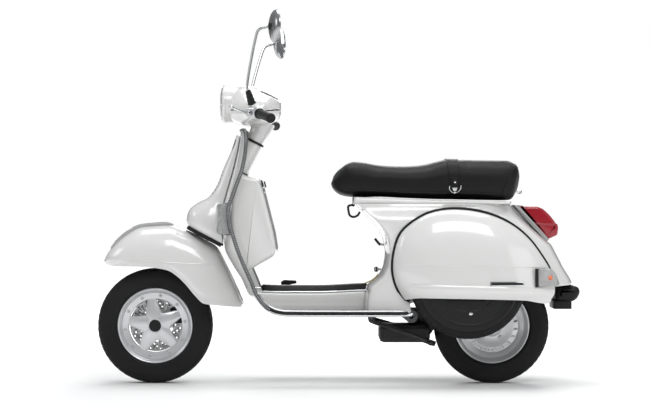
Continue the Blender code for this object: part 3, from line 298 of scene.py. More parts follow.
def prism(name, outline, low_y, high_y, radius, material, steps=4, smooth=35.0):
    """A smooth outline of (x, z) extruded along Y, with its side edges rounded inwards."""
    points = [Vector((p[0], p[1])) for p in outline]
    area = sum(a.x * b.y - b.x * a.y for a, b in zip(points, points[1:] + points[:1]))
    turn = 1.0 if area > 0 else -1.0
    normals = []
    for i in range(len(points)):
        along = (points[(i + 1) % len(points)] - points[i - 1]).normalized()
        normals.append(Vector((-along.y, along.x)) * turn)
    rings = []
    for k in range(steps + 1):
        angle = math.pi / 2 * k / steps
        inset, inward = radius * (1 - math.sin(angle)), radius * (1 - math.cos(angle))
        rings.append([Vector((p.x + n.x * inset, low_y + inward, p.y + n.y * inset))
                      for p, n in zip(points, normals)])
    for k in range(steps, -1, -1):
        angle = math.pi / 2 * k / steps
        inset, inward = radius * (1 - math.sin(angle)), radius * (1 - math.cos(angle))
        rings.append([Vector((p.x + n.x * inset, high_y - inward, p.y + n.y * inset))
                      for p, n in zip(points, normals)])
    return loft(name, rings, material, smooth=smooth)


def pillow(name, place, material, power=4.0, columns=16, rows=16, smooth=60.0):
    """A raised pad. place(u, v, h) gives the point for u and v from -1 to 1 and height h from 0 to 1."""
    verts, faces = [], []
    for level in (1.0, 0.0):
        for i in range(rows + 1):
            v = math.sin(math.pi * (i / rows - 0.5))
            for k in range(columns + 1):
                u = math.sin(math.pi * (k / columns - 0.5))
                h = ((1 - abs(u) ** power) * (1 - abs(v) ** power)) ** (1 / power) if level else 0.0
                verts.append(place(u, v, h))
    width, half = columns + 1, (columns + 1) * (rows + 1)
    for i in range(rows):
        for k in range(columns):
            a = i * width + k
            faces.append((a, a + 1, a + width + 1, a + width))
            faces.append((half + a, half + a + width, half + a + width + 1, half + a + 1))
    border = list(range(width)) + [i * width + columns for i in range(1, rows + 1)]
    border += [rows * width + k for k in range(columns - 1, -1, -1)]
    border += [i * width for i in range(rows - 1, 0, -1)]
    for a, b in zip(border, border[1:] + border[:1]):
        faces.append((a, half + a, half + b, b))
    thing = mesh_piece(name, verts, faces, material, smooth)
    shape = bmesh.new()
    shape.from_mesh(thing.data)
    bmesh.ops.remove_doubles(shape, verts=shape.verts, dist=0.00002)
    bmesh.ops.recalc_face_normals(shape, faces=shape.faces)
    shape.to_mesh(thing.data)
    shape.free()
    return thing


def joined(name, things):
    """One object from several meshes."""
    shape = bmesh.new()
    materials = []
    for thing in things:
        bake(thing)
        base = len(shape.faces)
        shape.from_mesh(thing.data)
        shape.faces.ensure_lookup_table()
        slots = []
        for material in thing.data.materials:
            if material not in materials:
                materials.append(material)
            slots.append(materials.index(material))
        for face in shape.faces[base:]:
            face.material_index = slots[face.material_index]
        bpy.data.objects.remove(thing, do_unlink=True)
    mesh = bpy.data.meshes.new(name)
    shape.to_mesh(mesh)
    shape.free()
    for material in materials:
        mesh.materials.append(material)
    thing = bpy.data.objects.new(name, mesh)
    bpy.context.scene.collection.objects.link(thing)
    return thing


def fused(name, things, voxel, rounds):
    """Several closed shapes turned into one casting, with small fillets where they meet."""
    thing = joined(name, things)
    remesh = thing.modifiers.new("remesh", "REMESH")
    remesh.mode = "VOXEL"
    remesh.voxel_size = voxel
    remesh.use_smooth_shade = True
    soften = thing.modifiers.new("soften", "SMOOTH")
    soften.factor = 0.5
    soften.iterations = rounds
    bake(thing)
    thing.data.shade_smooth()
    return thing


def cut_with(thing, cutter):
    """Cut one shape out of another and delete the cutter."""
    step = thing.modifiers.new("cut", "BOOLEAN")
    step.operation = "DIFFERENCE"
    step.solver = "EXACT"
    step.object = cutter
    bake(thing)
    bpy.data.objects.remove(cutter, do_unlink=True)
    return thing


# ---------------------------------------------------------------- materials
def new_node(nodes, kind, **values):
    """A shader node with inputs set by name, where an underscore stands for a space."""
    node = nodes.new(kind)
    for key, value in values.items():
        node.inputs[key.replace("_", " ")].default_value = value
    return node


def finish(name, colour, roughness, metallic=0.0, grain=(), mottle=(4.0, 0.05), vary=0.04, sockets=None,
           marks=None):
    """A material with mottled colour, varying roughness and a chain of bumps.

    grain holds (pattern, scale, strength, distance). marks is (attribute, colour): painted shade
    laid over the rest where that mesh attribute is 1. sockets sets further inputs of the shader by name.
    """
    material = bpy.data.materials.new(name)
    material.use_nodes = True
    tree = material.node_tree
    nodes, links = tree.nodes, tree.links
    shader = nodes["Principled BSDF"]
    shader.inputs["Metallic"].default_value = metallic
    for key, value in (sockets or {}).items():
        shader.inputs[key].default_value = value
    place = nodes.new("ShaderNodeTexCoord")

    def noise(scale, detail):
        node = new_node(nodes, "ShaderNodeTexNoise", Scale=scale, Detail=detail)
        links.new(place.outputs["Object"], node.inputs["Vector"])
        return node

    blotch = noise(mottle[0], 4.0)
    ramp = nodes.new("ShaderNodeMix")
    ramp.data_type = "RGBA"
    ramp.inputs[6].default_value = (*[c * (1 - mottle[1]) for c in colour], 1.0)
    ramp.inputs[7].default_value = (*[min(c * (1 + mottle[1]), 1.0) for c in colour], 1.0)
    links.new(blotch.outputs["Fac"], ramp.inputs[0])
    tint = ramp.outputs[2]
    # marks paints a darker colour where the named attribute is 1: painted shade in grooves
    if marks:
        groove_shade_attribute = nodes.new("ShaderNodeAttribute")
        groove_shade_attribute.attribute_name = marks[0]
        groove_shade_mix = nodes.new("ShaderNodeMix")
        groove_shade_mix.data_type = "RGBA"
        groove_shade_mix.inputs[7].default_value = (*marks[1], 1.0)
        links.new(groove_shade_attribute.outputs["Fac"], groove_shade_mix.inputs[0])
        links.new(tint, groove_shade_mix.inputs[6])
        tint = groove_shade_mix.outputs[2]
    links.new(tint, shader.inputs["Base Color"])
    smear = noise(mottle[0] * 9, 3.0)
    spread = new_node(nodes, "ShaderNodeMapRange", To_Min=max(roughness - vary, 0.0),
                      To_Max=min(roughness + vary, 1.0))
    links.new(smear.outputs["Fac"], spread.inputs["Value"])
    links.new(spread.outputs["Result"], shader.inputs["Roughness"])
    last = None
    for pattern, scale, strength, distance in grain:
        if pattern == "noise":
            source = noise(scale, 3.0).outputs["Fac"]
        elif pattern == "cells":
            node = new_node(nodes, "ShaderNodeTexVoronoi", Scale=scale)
            links.new(place.outputs["Object"], node.inputs["Vector"])
            source = node.outputs["Distance"]
        else:
            node = new_node(nodes, "ShaderNodeTexWave", Scale=scale)
            node.bands_direction = pattern
            links.new(place.outputs["Object"], node.inputs["Vector"])
            source = node.outputs["Fac"]
        bump = nodes.new("ShaderNodeBump")
        bump.inputs["Strength"].default_value = strength
        bump.inputs["Distance"].default_value = distance
        links.new(source, bump.inputs["Height"])
        if last:
            links.new(last, bump.inputs["Normal"])
        last = bump.outputs["Normal"]
    if last:
        links.new(last, shader.inputs["Normal"])
    return material


COATED = {"Coat Weight": 1.0, "Coat Roughness": 0.05}
PAINT = finish("gloss_paint", (0.66, 0.66, 0.65), 0.24, sockets=COATED, mottle=(1.6, 0.012),
               grain=[("noise", 260, 0.02, 0.001)])
FRAME_PAINT = finish("inner_paint", (0.34, 0.34, 0.335), 0.5, mottle=(9, 0.2),
                     grain=[("noise", 90, 0.2, 0.002)])
CHROME = finish("chrome_plate", (0.62, 0.63, 0.64), 0.1, 1.0, mottle=(12, 0.03), vary=0.03,
                grain=[("noise", 300, 0.015, 0.001)])
SATIN = finish("satin_chrome", (0.36, 0.365, 0.37), 0.24, 1.0, mottle=(12, 0.05), vary=0.04,
               grain=[("noise", 300, 0.02, 0.001)])
ALLOY = finish("cast_alloy", (0.6, 0.61, 0.62), 0.34, 0.85, mottle=(14, 0.05), vary=0.06,
               grain=[("noise", 900, 0.1, 0.0004)], sockets={"Coat Weight": 0.3, "Coat Roughness": 0.1})
STEEL = finish("zinc_steel", (0.5, 0.5, 0.5), 0.38, 0.9, mottle=(22, 0.12), vary=0.1,
               grain=[("noise", 700, 0.12, 0.0004)])
SILVER = finish("silver_wheel_paint", (0.62, 0.63, 0.64), 0.3, 0.55, mottle=(18, 0.04),
                grain=[("noise", 1500, 0.06, 0.0003)],
                sockets={"Coat Weight": 0.6, "Coat Roughness": 0.08})
# the darker colour under marks is painted shade at the bottom of the tread grooves and notches
TYRE = finish("tyre_rubber", (0.008, 0.008, 0.0085), 0.62, mottle=(11, 0.3), vary=0.1,
              grain=[("noise", 520, 0.25, 0.0006), ("noise", 40, 0.08, 0.002)],
              marks=("groove", (0.003,) * 3), sockets={"Specular IOR Level": 0.22})
RUBBER = finish("black_rubber", (0.008, 0.008, 0.0085), 0.55, mottle=(16, 0.25), vary=0.08,
                grain=[("noise", 800, 0.25, 0.0005)], sockets={"Specular IOR Level": 0.25})
MAT = finish("floor_mat", (0.006, 0.006, 0.0065), 0.45, mottle=(10, 0.25), vary=0.1,
             grain=[("noise", 600, 0.2, 0.0005)], sockets={"Specular IOR Level": 0.25})
PLASTIC = finish("moulded_plastic", (0.0075, 0.0075, 0.008), 0.45, mottle=(20, 0.15), vary=0.06,
                 grain=[("cells", 700, 0.25, 0.0004)], sockets={"Specular IOR Level": 0.28})
GREY_PLASTIC = finish("grey_plastic", (0.36, 0.36, 0.36), 0.35, mottle=(20, 0.06),
                      grain=[("noise", 500, 0.1, 0.0005)])
LEATHER = finish("seat_cover", (0.0035, 0.0035, 0.004), 0.46, mottle=(7, 0.25), vary=0.08,
                 grain=[("cells", 620, 0.3, 0.0007), ("noise", 1300, 0.12, 0.0004),
                        ("noise", 9, 0.05, 0.01)], sockets={"Sheen Weight": 0.02, "Sheen Roughness": 0.4,
                                                            "Specular IOR Level": 0.22})
THREAD = finish("seam_thread", (0.03, 0.03, 0.032), 0.6, mottle=(60, 0.3),
                grain=[("noise", 1500, 0.4, 0.0004)])
RED_LENS = finish("red_lens", (0.33, 0.001, 0.012), 0.16, mottle=(9, 0.12), vary=0.04,
                  grain=[("Z", 95, 0.15, 0.0006)], sockets={"Coat Weight": 0.4, "Coat Roughness": 0.03,
                                                            "Transmission Weight": 0.1, "IOR": 1.49})
CLEAR_LENS = finish("clear_lens", (0.86, 0.87, 0.87), 0.1, mottle=(9, 0.03), vary=0.05,
                    grain=[("Z", 120, 0.35, 0.0008)], sockets={"Transmission Weight": 0.72, "IOR": 1.49,
                                                               "Coat Weight": 0.6})
AMBER = finish("amber_bulb", (0.9, 0.2, 0.06), 0.2, mottle=(40, 0.1),
               sockets={"Coat Weight": 1.0, "Transmission Weight": 0.2})
GLASS = finish("mirror_glass", (0.6, 0.62, 0.63), 0.12, 1.0, mottle=(10, 0.02), vary=0.01)
REFLECTOR = finish("reflector", (0.82, 0.82, 0.82), 0.12, 1.0, mottle=(30, 0.04),
                   grain=[("X", 60, 0.2, 0.001)])
DIAL = finish("dial_face", (0.022, 0.022, 0.024), 0.5, mottle=(30, 0.1),
              grain=[("noise", 900, 0.1, 0.0002)])
DIAL_INK = finish("dial_ink", (0.8, 0.8, 0.78), 0.5, mottle=(60, 0.05))
NEEDLE = finish("dial_needle", (0.75, 0.06, 0.03), 0.4, mottle=(60, 0.05))
ENGINE = finish("engine_casting", (0.13, 0.13, 0.134), 0.52, 0.75, mottle=(16, 0.2), vary=0.1,
                grain=[("noise", 420, 0.4, 0.0007), ("noise", 60, 0.15, 0.002)])
EXHAUST = finish("exhaust_black", (0.009, 0.009, 0.009), 0.5, 0.2, mottle=(12, 0.35), vary=0.12,
                 grain=[("noise", 350, 0.3, 0.0006)])
CABLE = finish("cable_sheath", (0.55, 0.46, 0.22), 0.5, mottle=(30, 0.15),
               grain=[("noise", 700, 0.2, 0.0004)])
# the darker colour under marks is painted shade in the dipped rings between the ribs
TRIM = finish("ribbed_trim", (0.22, 0.225, 0.23), 0.18, 1.0, mottle=(20, 0.05), vary=0.05,
              marks=("groove", (0.03, 0.03, 0.032)), grain=[("noise", 300, 0.03, 0.0005)])

NODE_LOOKS = {
    "steering_head": STEEL, "wheel_arch": FRAME_PAINT, "fuel_tank": FRAME_PAINT, "seat_pan": PLASTIC,
    "front_link": STEEL, "front_caliper": PLASTIC, "front_damper_tube": STEEL, "front_damper_rod": CHROME,
    "rear_damper_tube": STEEL, "rear_damper_rod": CHROME, "crankcase": ENGINE, "silencer": EXHAUST,
    "kickstart_lever": STEEL, "centre_stand": EXHAUST, "brake_pedal": PLASTIC, "glovebox": PAINT,
    "glovebox_door": PAINT,
}
for node, look in NODE_LOOKS.items():
    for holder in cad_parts[node].material_slots:
        holder.material = look

# ---------------------------------------------------------------- legshield and floor
# height, x in the middle, x at the edge, half width
LEG_TABLE = [
    (0.271, -0.256, -0.226, 0.234), (0.29, -0.296, -0.261, 0.235), (0.305, -0.312, -0.275, 0.235),
    (0.336, -0.341, -0.298, 0.236), (0.386, -0.364, -0.319, 0.236), (0.44, -0.397, -0.343, 0.236),
    (0.504, -0.428, -0.369, 0.236), (0.55, -0.436, -0.384, 0.236), (0.6, -0.439, -0.397, 0.236),
    (0.65, -0.433, -0.401, 0.235), (0.7, -0.42, -0.386, 0.233), (0.75, -0.406, -0.368, 0.23),
    (0.8, -0.392, -0.351, 0.225), (0.85, -0.38, -0.342, 0.214), (0.89, -0.372, -0.339, 0.196),
    (0.915, -0.368, -0.34, 0.172), (0.93, -0.366, -0.343, 0.14), (0.937, -0.3655, -0.35, 0.105),
]
leg_table = smooth_table(LEG_TABLE)


def leg_x(y, z):
    """Where the legshield stands at one width and height."""
    centre, edge, half = leg_table(z)
    return centre + (edge - centre) * (abs(y) / half) ** 2


def outside_steering_tube(point):
    """Whether a point is clear of the steering tube."""
    offset = point - STEER_TOP
    return (offset - STEER_DOWN * offset.dot(STEER_DOWN)).length > 0.0305


def leg_and_floor():
    """One pressing: the legshield bends back into the floorboards."""
    rows = []
    for i in range(64):
        z = 0.274 + (LEG_TOP - 0.274) * (1 - i / 63) ** 1.15
        half = leg_table(z)[2]
        rows.append([Vector((leg_x(half * v, z), half * v, z)) for v in [k / 24 - 1 for k in range(49)]])
    for i in range(25):
        t = i / 24
        row = []
        for k in range(49):
            v = k / 24 - 1
            y = FLOOR_HALF * v
            front = leg_x(y, FLOOR_TOP) + 0.006
            rear = 0.27 - 0.1 * (1 - abs(v))
            drop = 0.004 * between(abs(y), 0.215, FLOOR_HALF)
            row.append(Vector((front + (rear - front) * t, y, FLOOR_TOP - drop * between(t, 0.0, 0.1))))
        rows.append(row)
    thing = panel("leg_and_floor", rows, 0.0028, PAINT, -X_AXIS, smooth=60, keep=outside_steering_tube)
    return finish_piece(thing, "body", ["legshield", "floorboard"])


leg_and_floor()


def edge_path(lift, back):
    """The line round the legshield's edge, lift outside it and back behind it."""
    edges = []
    for i in range(56):
        z = 0.272 + (LEG_TOP - 0.272) * i / 55
        _, edge, half = leg_table(z)
        edges.append(Vector((edge, -half, z)))
    edges.append(Vector((-0.356, -0.055, 0.94)))
    left = []
    for before, here, after in zip(edges, edges[1:], edges[2:]):
        along = (after - before).normalized()
        outward = Vector((0.0, -along.z, along.y)).normalized()
        left.append(here + outward * lift + X_AXIS * back)
    left.append(Vector((-0.36 + back, -0.045, 0.9385 + lift)))
    path = left + [Vector((-0.364 + back, 0.0, 0.9395 + lift))]
    return path + [mirror_y(p) for p in reversed(left)]


def resample(path, step):
    """Points a fixed step apart along a path."""
    out, left = [path[0].copy()], step
    for a, b in zip(path, path[1:]):
        length = (b - a).length
        done = 0.0
        while length - done >= left:
            done += left
            out.append(a + (b - a) * (done / length))
            left = step
        left -= length - done
    return out


def mark(thing, values):
    """Store which points of a piece are in a groove and get painted shade there."""
    layer = thing.data.attributes.new("groove", "FLOAT", "POINT")
    layer.data.foreach_set("value", values)
    return thing


def leg_trim():
    """Chrome edging with a ribbed insert: every third ring dips in and carries painted shade."""
    path = resample(edge_path(0.0045, 0.0012), 0.0026)
    radii, groove_shade = [], []
    for i in range(len(path)):
        low = i % 3 == 0
        radii.append(0.0062 if low else 0.0078)
        # the dipped rings are painted dark as shade in the grooves
        groove_shade += [1.0 if low else 0.0] * 12
    thing = tube("legshield_edging", path, radii, TRIM, sides=12)
    mark(thing, groove_shade)
    return finish_piece(thing, "body", ["legshield_trim"])


leg_trim()


def floor_edges():
    """Chrome, black and chrome strips along each side of the floor, and the treads on top."""
    for label, sign in SIDES:
        upper = vectors((-0.29, 0.2385, 0.342), (-0.268, 0.2395, 0.312), (-0.24, 0.24, 0.292),
                        (-0.208, 0.24, 0.2825), (-0.15, 0.24, 0.28), (0.2, 0.24, 0.2795),
                        (0.23, 0.237, 0.28), sign=sign)
        lower = vectors((-0.296, 0.238, 0.33), (-0.276, 0.239, 0.301), (-0.248, 0.239, 0.278),
                        (-0.215, 0.239, 0.267), (-0.15, 0.239, 0.264), (0.22, 0.239, 0.264),
                        (0.268, 0.233, 0.27), sign=sign)
        middle = [(a + b) / 2 for a, b in zip(upper, lower)]
        parts = [
            tube("upper", smooth_path(upper, 10), 0.003, CHROME),
            tube("lower", smooth_path(lower, 10), 0.0042, CHROME),
            tube("insert", smooth_path(middle, 10), 0.0066, RUBBER, flat=0.5),
        ]
        finish_piece(joined(f"floor_edge_{label}", parts), "body")
        treads = []
        for k in range(3):
            y = sign * (0.108 + 0.04 * k)
            start, end = leg_x(y, FLOOR_TOP) + 0.04, 0.13 + 0.034 * k
            for low, high, half, look in ((0.27, 0.2742, 0.0085, ALLOY), (0.2735, 0.2775, 0.0062, RUBBER)):
                def tread(u, v, h, s=start, e=end, y=y, a=half, lo=low, hi=high):
                    return Vector(((s + e) / 2 + u * (e - s) / 2, y + v * a, lo + (hi - lo) * h))

                treads.append(pillow("tread", tread, look, power=8, columns=20, rows=6))
        finish_piece(joined(f"floor_treads_{label}", treads), "body")


floor_edges()

# ---------------------------------------------------------------- tunnel and mat
# height, x of the front face
BODY_FRONT = [
    (0.272, 0.095), (0.33, 0.098), (0.3605, 0.1055), (0.3808, 0.1257), (0.4051, 0.1521), (0.4456, 0.1703),
    (0.4861, 0.1756), (0.5266, 0.1703), (0.5711, 0.1541), (0.6076, 0.1257), (0.64, 0.0933),
    (0.668, 0.065),
]
body_front = smooth_table(BODY_FRONT)


def tunnel_point(t, angle, lift=0.0, shrink=0.0):
    """A point of the tunnel, from the legshield at t 0 to the rear body at t 1."""
    top = 0.36 + 0.008 * between(t, 0.6, 1.0) - 0.004 * between(t, 0.0, 0.3)
    y = -(0.066 - shrink) * math.copysign(abs(math.cos(angle)) ** 0.55, math.cos(angle))
    z = 0.272 + (top - 0.272) * max(math.sin(angle), 0.0) ** 0.45 + lift
    y += math.copysign(0.012 * (1 - between(z, 0.27, 0.292)) ** 2, y)
    front = leg_x(y, max(z, 0.273)) + 0.004
    rear = body_front(z)[0] + 0.004
    return Vector((front + (rear - front) * t, y, z))


def tunnel():
    """The tunnel between the floorboards, its ribbed mat and the chrome strips beside the mat."""
    rows = []
    for i in range(41):
        rows.append([tunnel_point(i / 40, math.pi * k / 48) for k in range(49)])
    thing = panel("tunnel_pressing", rows, 0.0025, PAINT, Z_AXIS, smooth=60)
    finish_piece(thing, "body", ["tunnel"])
    rings = []
    across = 73
    for i in range(49):
        t = 0.13 + 0.855 * i / 48
        edge = 1.0 if 0 < i < 48 else 0.35
        under, over = [], []
        for k in range(across):
            angle = math.radians(39 + 102 * k / (across - 1))
            rib = 0.0011 * math.cos(2 * math.pi * k / 6) * between(min(k, across - 1 - k), 4, 8)
            under.append(tunnel_point(t, angle, 0.0012))
            over.append(tunnel_point(t, angle, 0.0012 + (0.0072 + rib) * edge, shrink=-0.0022 * edge))
        rings.append(under + over[::-1])
    finish_piece(loft("tunnel_mat_ribbed", rings, MAT, smooth=50), "body", ["tunnel_mat"])
    for label, start in (("left", 38), ("right", 142)):
        path = [tunnel_point(0.125 + 0.87 * i / 40, math.radians(start), 0.0025, -0.0035)
                for i in range(41)]
        finish_piece(tube(f"mat_trim_{label}", path, 0.0032, CHROME, sides=10), "body")


tunnel()

# ---------------------------------------------------------------- rear body
# height, x of the rear face
BODY_REAR = [
    (0.272, 0.89), (0.3685, 0.8759), (0.4374, 0.8386), (0.4919, 0.8099), (0.5178, 0.7955), (0.535, 0.7754),
    (0.6499, 0.6548), (0.668, 0.64),
]
# x, z from the rear foot over the top to the front foot
COWL_OUTLINE = [
    (0.76, 0.308), (0.788, 0.33), (0.7935, 0.3589), (0.785, 0.4), (0.7685, 0.4417), (0.7401, 0.4851),
    (0.7027, 0.5374), (0.643, 0.5897), (0.5682, 0.627), (0.4935, 0.6457), (0.4263, 0.6509),
    (0.3815, 0.648), (0.3217, 0.6345), (0.2619, 0.5971), (0.2246, 0.5598), (0.2059, 0.5075),
    (0.1962, 0.4403), (0.2059, 0.3805), (0.2283, 0.3357), (0.242, 0.318),
]


def cowl_curve():
    """The cowl's outline from its rear foot over the top to its front foot, without corners."""
    curve = smooth_path([Vector((x, 0.0, z)) for x, z in COWL_OUTLINE], 8)
    for _ in range(20):
        inner = [(a + b * 2 + c) / 4 for a, b, c in zip(curve, curve[1:], curve[2:])]
        curve = [curve[0]] + inner + [curve[-1]]
    return curve


def rising(points):
    """The points whose height is above that of every point before them, as (height, x)."""
    rows = []
    for point in points:
        if not rows or point.z > rows[-1][0] + 0.0001:
            rows.append((point.z, point.x))
    return rows


cowl_edge = cowl_curve()
cowl_peak = max(range(len(cowl_edge)), key=lambda i: cowl_edge[i].z)
COWL_TOP = cowl_edge[cowl_peak].z
body_rear = smooth_table(BODY_REAR)
cowl_front = smooth_table([(0.272, 0.252)] + rising(reversed(cowl_edge[cowl_peak:])))
cowl_rear = smooth_table([(0.272, 0.76)] + rising(cowl_edge[:cowl_peak + 1]))


def body_half(t):
    """Half of one row of the rear body, from the front middle to the tail middle."""
    floors = [0.2722] * 6 + [0.3, 0.34, 0.365, 0.365, 0.365, 0.365, 0.368, 0.371, 0.372, 0.372]
    points = []
    for k, floor in enumerate(floors):
        z = floor + (BODY_TOP - floor) * t
        front, rear = body_front(z)[0], body_rear(z)[0]
        seal_front, seal_rear = cowl_front(z)[0] + 0.014, cowl_rear(z)[0] - 0.014
        wide = BODY_HALF - 0.028 * between(z, 0.6, BODY_TOP)
        depth = between(seal_rear - seal_front, 0.0, 0.22)
        deep = wide - (wide - 0.1) * depth
        middle = (seal_front + seal_rear) / 2
        reach = max(seal_rear - seal_front, 0.08) / 2
        seal_front, seal_rear = middle - reach, middle + reach
        tail = max(rear - seal_rear, 0.03)
        spots = [
            (front, 0.0), (front + 0.001, 0.06), (front + 0.005, 0.112), (front + 0.014, wide - 0.013),
            (front + 0.03, wide - 0.001), (seal_front, wide), (seal_front + 0.004, deep),
            (middle - reach / 2, deep), (middle, deep), (middle + reach / 2, deep),
            (seal_rear - 0.004, deep), (seal_rear, wide - 0.003), (seal_rear + tail * 0.35, wide * 0.93),
            (seal_rear + tail * 0.72, wide * 0.76), (rear - 0.008, wide * 0.44), (rear, 0.0),
        ]
        x, y = spots[k]
        points.append(Vector((x, y, z)))
    front = smooth_path([mirror_y(points[1])] + points[:6], 6)[6:]
    rear = smooth_path(points[11:] + [mirror_y(points[14])], 6)[:-6]
    return front + smooth_path(points[6:11], 2) + rear


def rear_body():
    """The pressed rear body with its open top under the seat."""
    rings = []
    for i in range(45):
        half = body_half(i / 44)
        rings.append(half + [mirror_y(p) for p in reversed(half[1:-1])])
    top = rings[-1]
    middle = sum(top, Vector()) / len(top)
    for inset, z in ((0.988, 0.6696), (0.965, 0.6702), (0.9, 0.6702), (0.885, 0.669), (0.88, 0.664)):
        rings.append([Vector((middle.x + (p.x - middle.x) * inset, p.y * inset, z)) for p in top])
    thing = panel("rear_body_shell", rings, 0.0025, PAINT, Z_AXIS, ring=True, smooth=38)
    return finish_piece(thing, "body", ["rear_body"])


rear_body()
finish_piece(turned("tank_cap", [(0.033, 0.666), (0.033, 0.6705), (0.031, 0.6722), (0.008, 0.6728)],
                    Vector((0.33, 0.0, 0.0)), Z_AXIS, PLASTIC, 40, closed=False), "body")


def small_controls():
    """Fuel tap, choke cable, bag hook and choke knob."""
    tap = [rod("tap_stem", Vector((0.17, -0.045, 0.517)), Vector((0.15, -0.045, 0.52)), 0.004, STEEL),
           tube("tap_lever", smooth_path(vectors((0.156, -0.045, 0.517), (0.149, -0.046, 0.524),
                                                 (0.136, -0.047, 0.54)), 5), 0.0048, PLASTIC)]
    finish_piece(joined("fuel_tap_lever", tap), "body")
    cable = vectors((0.148, -0.04, 0.408), (0.14, -0.04, 0.398), (0.124, -0.038, 0.385),
                    (0.106, -0.03, 0.376), (0.092, -0.018, 0.37))
    finish_piece(tube("choke_cable", smooth_path(cable, 8), 0.0026, CABLE, sides=10), "body")
    knob = turned("choke_pull_knob", [
        (0.0038, 0.0), (0.0038, 0.009), (0.008, 0.0105), (0.0096, 0.013), (0.0096, 0.0225),
        (0.0085, 0.0255), (0.005, 0.027), (0.002, 0.0272)], Vector((0.159, -0.045, 0.426)), -X_AXIS,
                  GREY_PLASTIC, 32, closed=False)
    ring = turned("choke_ring", [(0.01, 0.015), (0.01, 0.0205), (0.009, 0.0205), (0.009, 0.015)],
                  Vector((0.159, -0.045, 0.426)), -X_AXIS, PLASTIC, 32)
    finish_piece(joined("choke_pull_knob", [knob, ring]), "choke_knob", ["choke_knob"])
    hook = vectors((0.058, 0.0, 0.666), (0.044, 0.0, 0.664), (0.037, 0.0, 0.659), (0.0385, 0.0, 0.642),
                   (0.043, 0.0, 0.627), (0.056, 0.0, 0.6205), (0.072, 0.0, 0.626), (0.081, 0.0, 0.64))
    parts = [tube("hook", smooth_path(hook, 8), 0.0042, PLASTIC, sides=16),
             rod("hook_eye", Vector((0.056, -0.012, 0.6655)), Vector((0.056, 0.012, 0.6655)), 0.006,
                 PLASTIC)]
    finish_piece(joined("bag_hook_bent", parts), "bag_hook", ["bag_hook"])


small_controls()

# ---------------------------------------------------------------- cowls
COWL_CENTRE = (0.5, 0.322)
cowl_polar = []
for spot in cowl_edge:
    bearing = math.atan2(spot.z - COWL_CENTRE[1], spot.x - COWL_CENTRE[0])
    if bearing > -0.06:
        cowl_polar.append((bearing, math.hypot(spot.x - COWL_CENTRE[0], spot.z - COWL_CENTRE[1])))
cowl_reach = smooth_table(sorted(cowl_polar) + [(math.pi + 0.02, 0.259)])
# x, height of the lower edge
cowl_bottom = smooth_table([
    (0.23, 0.317), (0.3007, 0.3265), (0.4, 0.3255), (0.496, 0.324), (0.6, 0.3215), (0.6773, 0.318),
    (0.7284, 0.309), (0.76, 0.305), (0.79, 0.32),
])


def cowl_y(x, z):
    """How far out the cowl's face stands at one place."""
    bearing = math.atan2(max(z, 0.3225) - COWL_CENTRE[1], x - COWL_CENTRE[0])
    scale = math.hypot(x - COWL_CENTRE[0], z - COWL_CENTRE[1]) / cowl_reach(bearing)[0]
    scale = min(scale, 1.0)
    bulge = 0.092 * (1 - scale ** 2.6) ** 0.6
    rear = 0.02 * between(x, 0.6, 0.8) * (1 - scale ** 3)
    inner = 1 - scale ** 4
    along = between(x, 0.225, 0.3) * (1 - between(x, 0.7, 0.77))
    slope = 0.026 * (x - 0.25)
    crease = 0.0026 * (1 - between(z + slope, 0.448, 0.4515)) * along
    tuck = 0.018 * (1 - between(z, 0.305, 0.362)) ** 2 * inner
    ridge = 0.0034 * math.exp(-((z + slope - 0.372) / 0.0055) ** 2) * along
    return BODY_HALF + 0.0012 + bulge - rear - tuck + ridge - crease - 0.003 * inner


def cowl_shell(label, sign):
    """A cowl with its crease and ridge, and the black seal round it."""
    heights = [0.317 + (0.36 - 0.317) * i / 13 for i in range(13)]
    heights += [0.36 + (0.382 - 0.36) * i / 16 for i in range(16)]
    heights += [0.382 + (0.434 - 0.382) * i / 10 for i in range(10)]
    heights += [0.434 + (0.454 - 0.434) * i / 22 for i in range(22)]
    heights += [0.454 + (COWL_TOP - 0.454) * math.sin(math.pi / 2 * i / 44) for i in range(44)]
    heights.append(COWL_TOP - 0.0002)
    rows = []
    for z in heights:
        low, high = cowl_front(z)[0], cowl_rear(z)[0]
        row = []
        for k in range(81):
            x = low + (high - low) * (0.5 - 0.5 * math.cos(math.pi * k / 80))
            drop = (cowl_bottom(x)[0] - 0.317) * (1 - between(z, 0.317, 0.35))
            row.append(Vector((x, sign * cowl_y(x, z + drop), z + drop)))
        rows.append(row)
    lip = [Vector((p.x, p.y - sign * 0.008, p.z + 0.003)) for p in rows[0]]
    thing = panel(f"cowl_shell_{label}", [lip] + rows, 0.0022, PAINT, Y_AXIS * sign, smooth=42)
    finish_piece(thing, f"{label}_cowl", [f"{label}_cowl"])
    path = []
    for i in range(4, 101):
        bearing = math.pi * (1 - i / 100) + 0.02 * (1 - i / 100)
        reach = cowl_reach(bearing)[0] + 0.002
        path.append(Vector((COWL_CENTRE[0] + reach * math.cos(bearing), sign * (BODY_HALF + 0.002),
                            COWL_CENTRE[1] + reach * math.sin(bearing))))
    foot = vectors((0.26, path[0].y, 0.313), (0.244, path[0].y, 0.32))
    path = foot + path[:92]
    radii = [0.0054 - 0.002 * between(i, 40, len(path)) + 0.0012 * math.exp(-((i - 52) / 12) ** 2)
             for i in range(len(path))]
    finish_piece(tube(f"cowl_seal_{label}", path, radii, RUBBER, sides=10), f"{label}_cowl")


def badge_bar():
    """A plain bar where the cowl carries its lettering."""
    middle_x, middle_z = 0.61, 0.38

    def place(u, v, h):
        x, z = middle_x + 0.062 * u, middle_z + 0.0078 * v
        return Vector((x, -cowl_y(x, z) - 0.0004 - 0.0026 * h, z))

    def inlay(u, v, h):
        x, z = middle_x + 0.057 * u, middle_z + 0.004 * v
        return Vector((x, -cowl_y(x, z) - 0.0026 - 0.0008 * h, z))

    bars = [pillow("bar", place, CHROME, power=8, columns=30, rows=10),
            pillow("inlay", inlay, PLASTIC, power=8, columns=30, rows=8)]
    finish_piece(joined("plain_badge", bars), "left_cowl")


